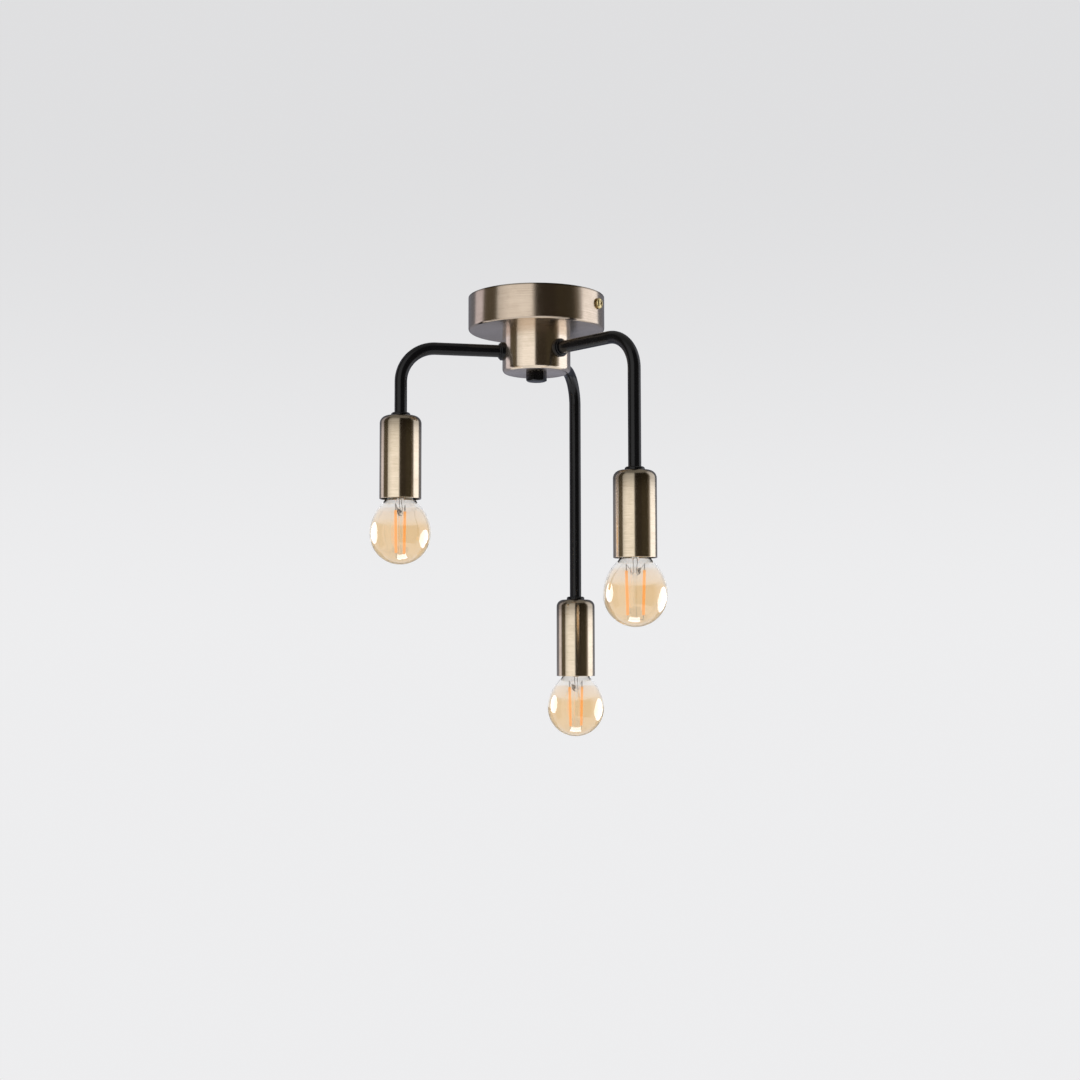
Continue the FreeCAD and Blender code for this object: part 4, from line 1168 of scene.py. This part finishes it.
lead_radius = 0.00018
lead_end_radius = 0.00044
lead_foot = 0.0010
lead_tail = -0.0360
top_end_length = 0.0046
low_end_length = 0.0030
lean = (spread_top - spread_bottom) / (filament_top - filament_bottom)
high_spread = spread_top + lean * top_end_length
low_spread = spread_bottom - lean * low_end_length
lead_routes = [[
    Vector((side * lead_foot, 0, lead_tail)),
    Vector((side * lead_foot, 0, press_bottom)),
    Vector((side * high_spread, 0, filament_top + top_end_length)),
    Vector((side * spread_top, 0, filament_top)),
] for side in (-1, 1)]
lead_routes.append([
    Vector((-spread_bottom, 0, filament_bottom)),
    Vector((-low_spread, 0, filament_bottom - low_end_length)),
    Vector((low_spread, 0, filament_bottom - low_end_length)),
    Vector((spread_bottom, 0, filament_bottom)),
])
end_routes = [[
    Vector((side * spread_top, 0, filament_top)),
    Vector((side * high_spread, 0, filament_top + top_end_length)),
] for side in (-1, 1)]
lead_wire = plain_metal("lead_wire", (0.55, 0.53, 0.50), (0.28, 0.26, 0.24), 0.32)
leads = route_of("lead_pattern", *lead_routes)
leads.data.materials.append(lead_wire)
wire_values = {"Bend Radius": 0.0005, "Bend Steps": 8, "Sides": 16, "Closed Ends": True}
use_tree(leads, bent_tube, Material=lead_wire, **{**wire_values, "Tube Radius": lead_radius})
ends = route_of("lead_end_pattern", *end_routes)
ends.data.materials.append(lead_wire)
use_tree(ends, bent_tube, Material=lead_wire, **{**wire_values, "Tube Radius": lead_end_radius})
for name, place in arm_places.items():
    wires = hang(leads, f"bulb_lead_wires_{name}", *place, bulb_turns[name])
    welded = hang(ends, f"bulb_lead_ends_{name}", *place, bulb_turns[name])
    for piece in (wires, welded):
        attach(piece, f"bulb_{name}")
        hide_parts(f"bulb_lead_wires_{name}")
bpy.data.objects.remove(leads)
bpy.data.objects.remove(ends)


# ---------------------------------------------------------------- bulb caps
# The screw cap is thin nickel-plated brass with a rolled thread, flared over the glass
# neck. A black glass insulator closes its top round the soldered centre tip.

cap_radius = 0.00695
cap_skirt_radius = 0.0086
cap_wall = 0.0003
cap_top = -0.0326
cap_chamfer = 0.0010
thread_length = 0.0134
cap_flare_length = 0.0040
cap_skirt_length = 0.0030
thread_start = cap_top - cap_chamfer
thread_end = thread_start - thread_length
skirt_start = thread_end - cap_flare_length
skirt_end = skirt_start - cap_skirt_length
thread_pitch = 0.00282
thread_depth = 0.0006
thread_rows = 72
wall_line = [(cap_skirt_radius, skirt_end), (cap_skirt_radius, skirt_start)]
for row in range(thread_rows + 1):
    wall_line.append((cap_radius, thread_end + (thread_start - thread_end) * row / thread_rows))
wall_line += [(cap_radius - cap_chamfer, cap_top)]
inside_line = [(radius - cap_wall, level) for radius, level in wall_line[:-1]]
inside_line += [(cap_radius - cap_chamfer, cap_top - cap_wall)]
cap = turned("cap_pattern", [Vector(p) for p in wall_line + inside_line[::-1]], steps=96, sharp=60.0)
for vertex in cap.data.vertices:
    away = math.hypot(vertex.co.x, vertex.co.y)
    if thread_end <= vertex.co.z <= thread_start and away > cap_radius - 2 * cap_wall:
        turn = math.atan2(vertex.co.y, vertex.co.x) / (2 * math.pi)
        wave = 0.5 - 0.5 * math.cos(2 * math.pi * (vertex.co.z / thread_pitch - turn))
        from_ends = min(vertex.co.z - thread_end, thread_start - vertex.co.z)
        fade = min(1.0, from_ends / thread_pitch)
        shrink = 1 - thread_depth * wave * max(fade, 0.0) / away
        vertex.co.x *= shrink
        vertex.co.y *= shrink
cap_nickel = plain_metal("cap_nickel", (0.72, 0.71, 0.68), (0.48, 0.47, 0.45), 0.26)
cap.data.materials.append(cap_nickel)
insulator_black = moulded("insulator_black", (0.012, 0.012, 0.016), 0.15, 0.05)
tip_solder = plain_metal("tip_solder", (0.62, 0.62, 0.61), (0.40, 0.40, 0.40), 0.38)
for name, place in arm_places.items():
    bulb_cap = hang(cap, f"bulb_cap_{name}", *place, bulb_turns[name])
    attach(bulb_cap, f"bulb_{name}")
    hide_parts(f"bulb_cap_{name}")
    insulator = tidy_copy(f"bulb_insulator_glass_{name}", f"bulb_insulator_{name}")
    insulator.data.materials.append(insulator_black)
    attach(insulator, f"bulb_{name}")
    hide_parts(f"bulb_insulator_{name}")
    tip = tidy_copy(f"bulb_tip_solder_{name}", f"bulb_tip_{name}")
    tip.data.materials.append(tip_solder)
    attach(tip, f"bulb_travel_{name}")
    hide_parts(f"bulb_tip_{name}")
bpy.data.objects.remove(cap)


# ---------------------------------------------------------------- ceiling bracket and inside fastenings
# Above the canopy's floor: a folded zinc-plated strap with its brass earth screw, and
# the steel tube, washers and nuts that clamp canopy, hub and arms together.

bracket_steel = plain_metal("bracket_steel", (0.66, 0.67, 0.70), (0.46, 0.47, 0.50), 0.36)
fastener_steel = plain_metal("fastener_steel", (0.60, 0.60, 0.62), (0.38, 0.38, 0.40), 0.32)
earth_brass = plain_metal("earth_brass", (0.80, 0.63, 0.30), (0.56, 0.42, 0.18), 0.28)
fastenings = (
    ("bracket_strap", "ceiling_bracket", bracket_steel, "bracket_steel", 0.0002),
    ("earth_screw_brass", "earth_screw", earth_brass, "earth_brass", 0.0),
    ("centre_tube_steel", "centre_tube", fastener_steel, "fastener_steel", 0.0001),
    ("lock_washer_steel", "canopy_lock_washer", fastener_steel, "fastener_steel", 0.00015),
    ("locknut_steel", "canopy_locknut", fastener_steel, "fastener_steel", 0.0003),
    ("saddle_washers_steel", "hub_saddle_washers", fastener_steel, "fastener_steel", 0.0),
    ("hub_locknuts_steel", "hub_locknuts", fastener_steel, "fastener_steel", 0.0003),
)
for name, node, finish, slot_name, bevel in fastenings:
    fastening = tidy_copy(name, node, bevel=bevel)
    fastening.data.materials.append(finish)
    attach(fastening, "light")
    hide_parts(node)


# ---------------------------------------------------------------- cables, grommets and terminal block
# A grey two-core cable runs inside each arm from its lampholder, through a rubber
# grommet in the canopy's floor, to the three-pole terminal block beside the strap.

cable_sheath = moulded("cable_sheath", (0.55, 0.55, 0.54), 0.5, 0.3)
grommet_rubber = moulded("grommet_rubber", (0.022, 0.022, 0.022), 0.65, 0.4)
block_plastic = moulded("block_plastic", (0.80, 0.79, 0.75), 0.35, 0.25)
for name in arm_places:
    cable = tidy_copy(f"arm_cable_sheath_{name}", f"arm_cable_{name}")
    cable.data.materials.append(cable_sheath)
    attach(cable, "light")
    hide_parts(f"arm_cable_{name}")
wiring = (
    ("grommets_rubber", "cable_grommets", grommet_rubber, "grommet_rubber", 0.0002),
    ("terminal_block_body", "terminal_block", block_plastic, "block_plastic", 0.0003),
    ("terminal_clamps_brass", "terminal_clamps", contact_brass, "contact_brass", 0.0002),
)
for name, node, finish, slot_name, bevel in wiring:
    fitting = tidy_copy(name, node, bevel=bevel)
    fitting.data.materials.append(finish)
    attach(fitting, "light")
    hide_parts(node)
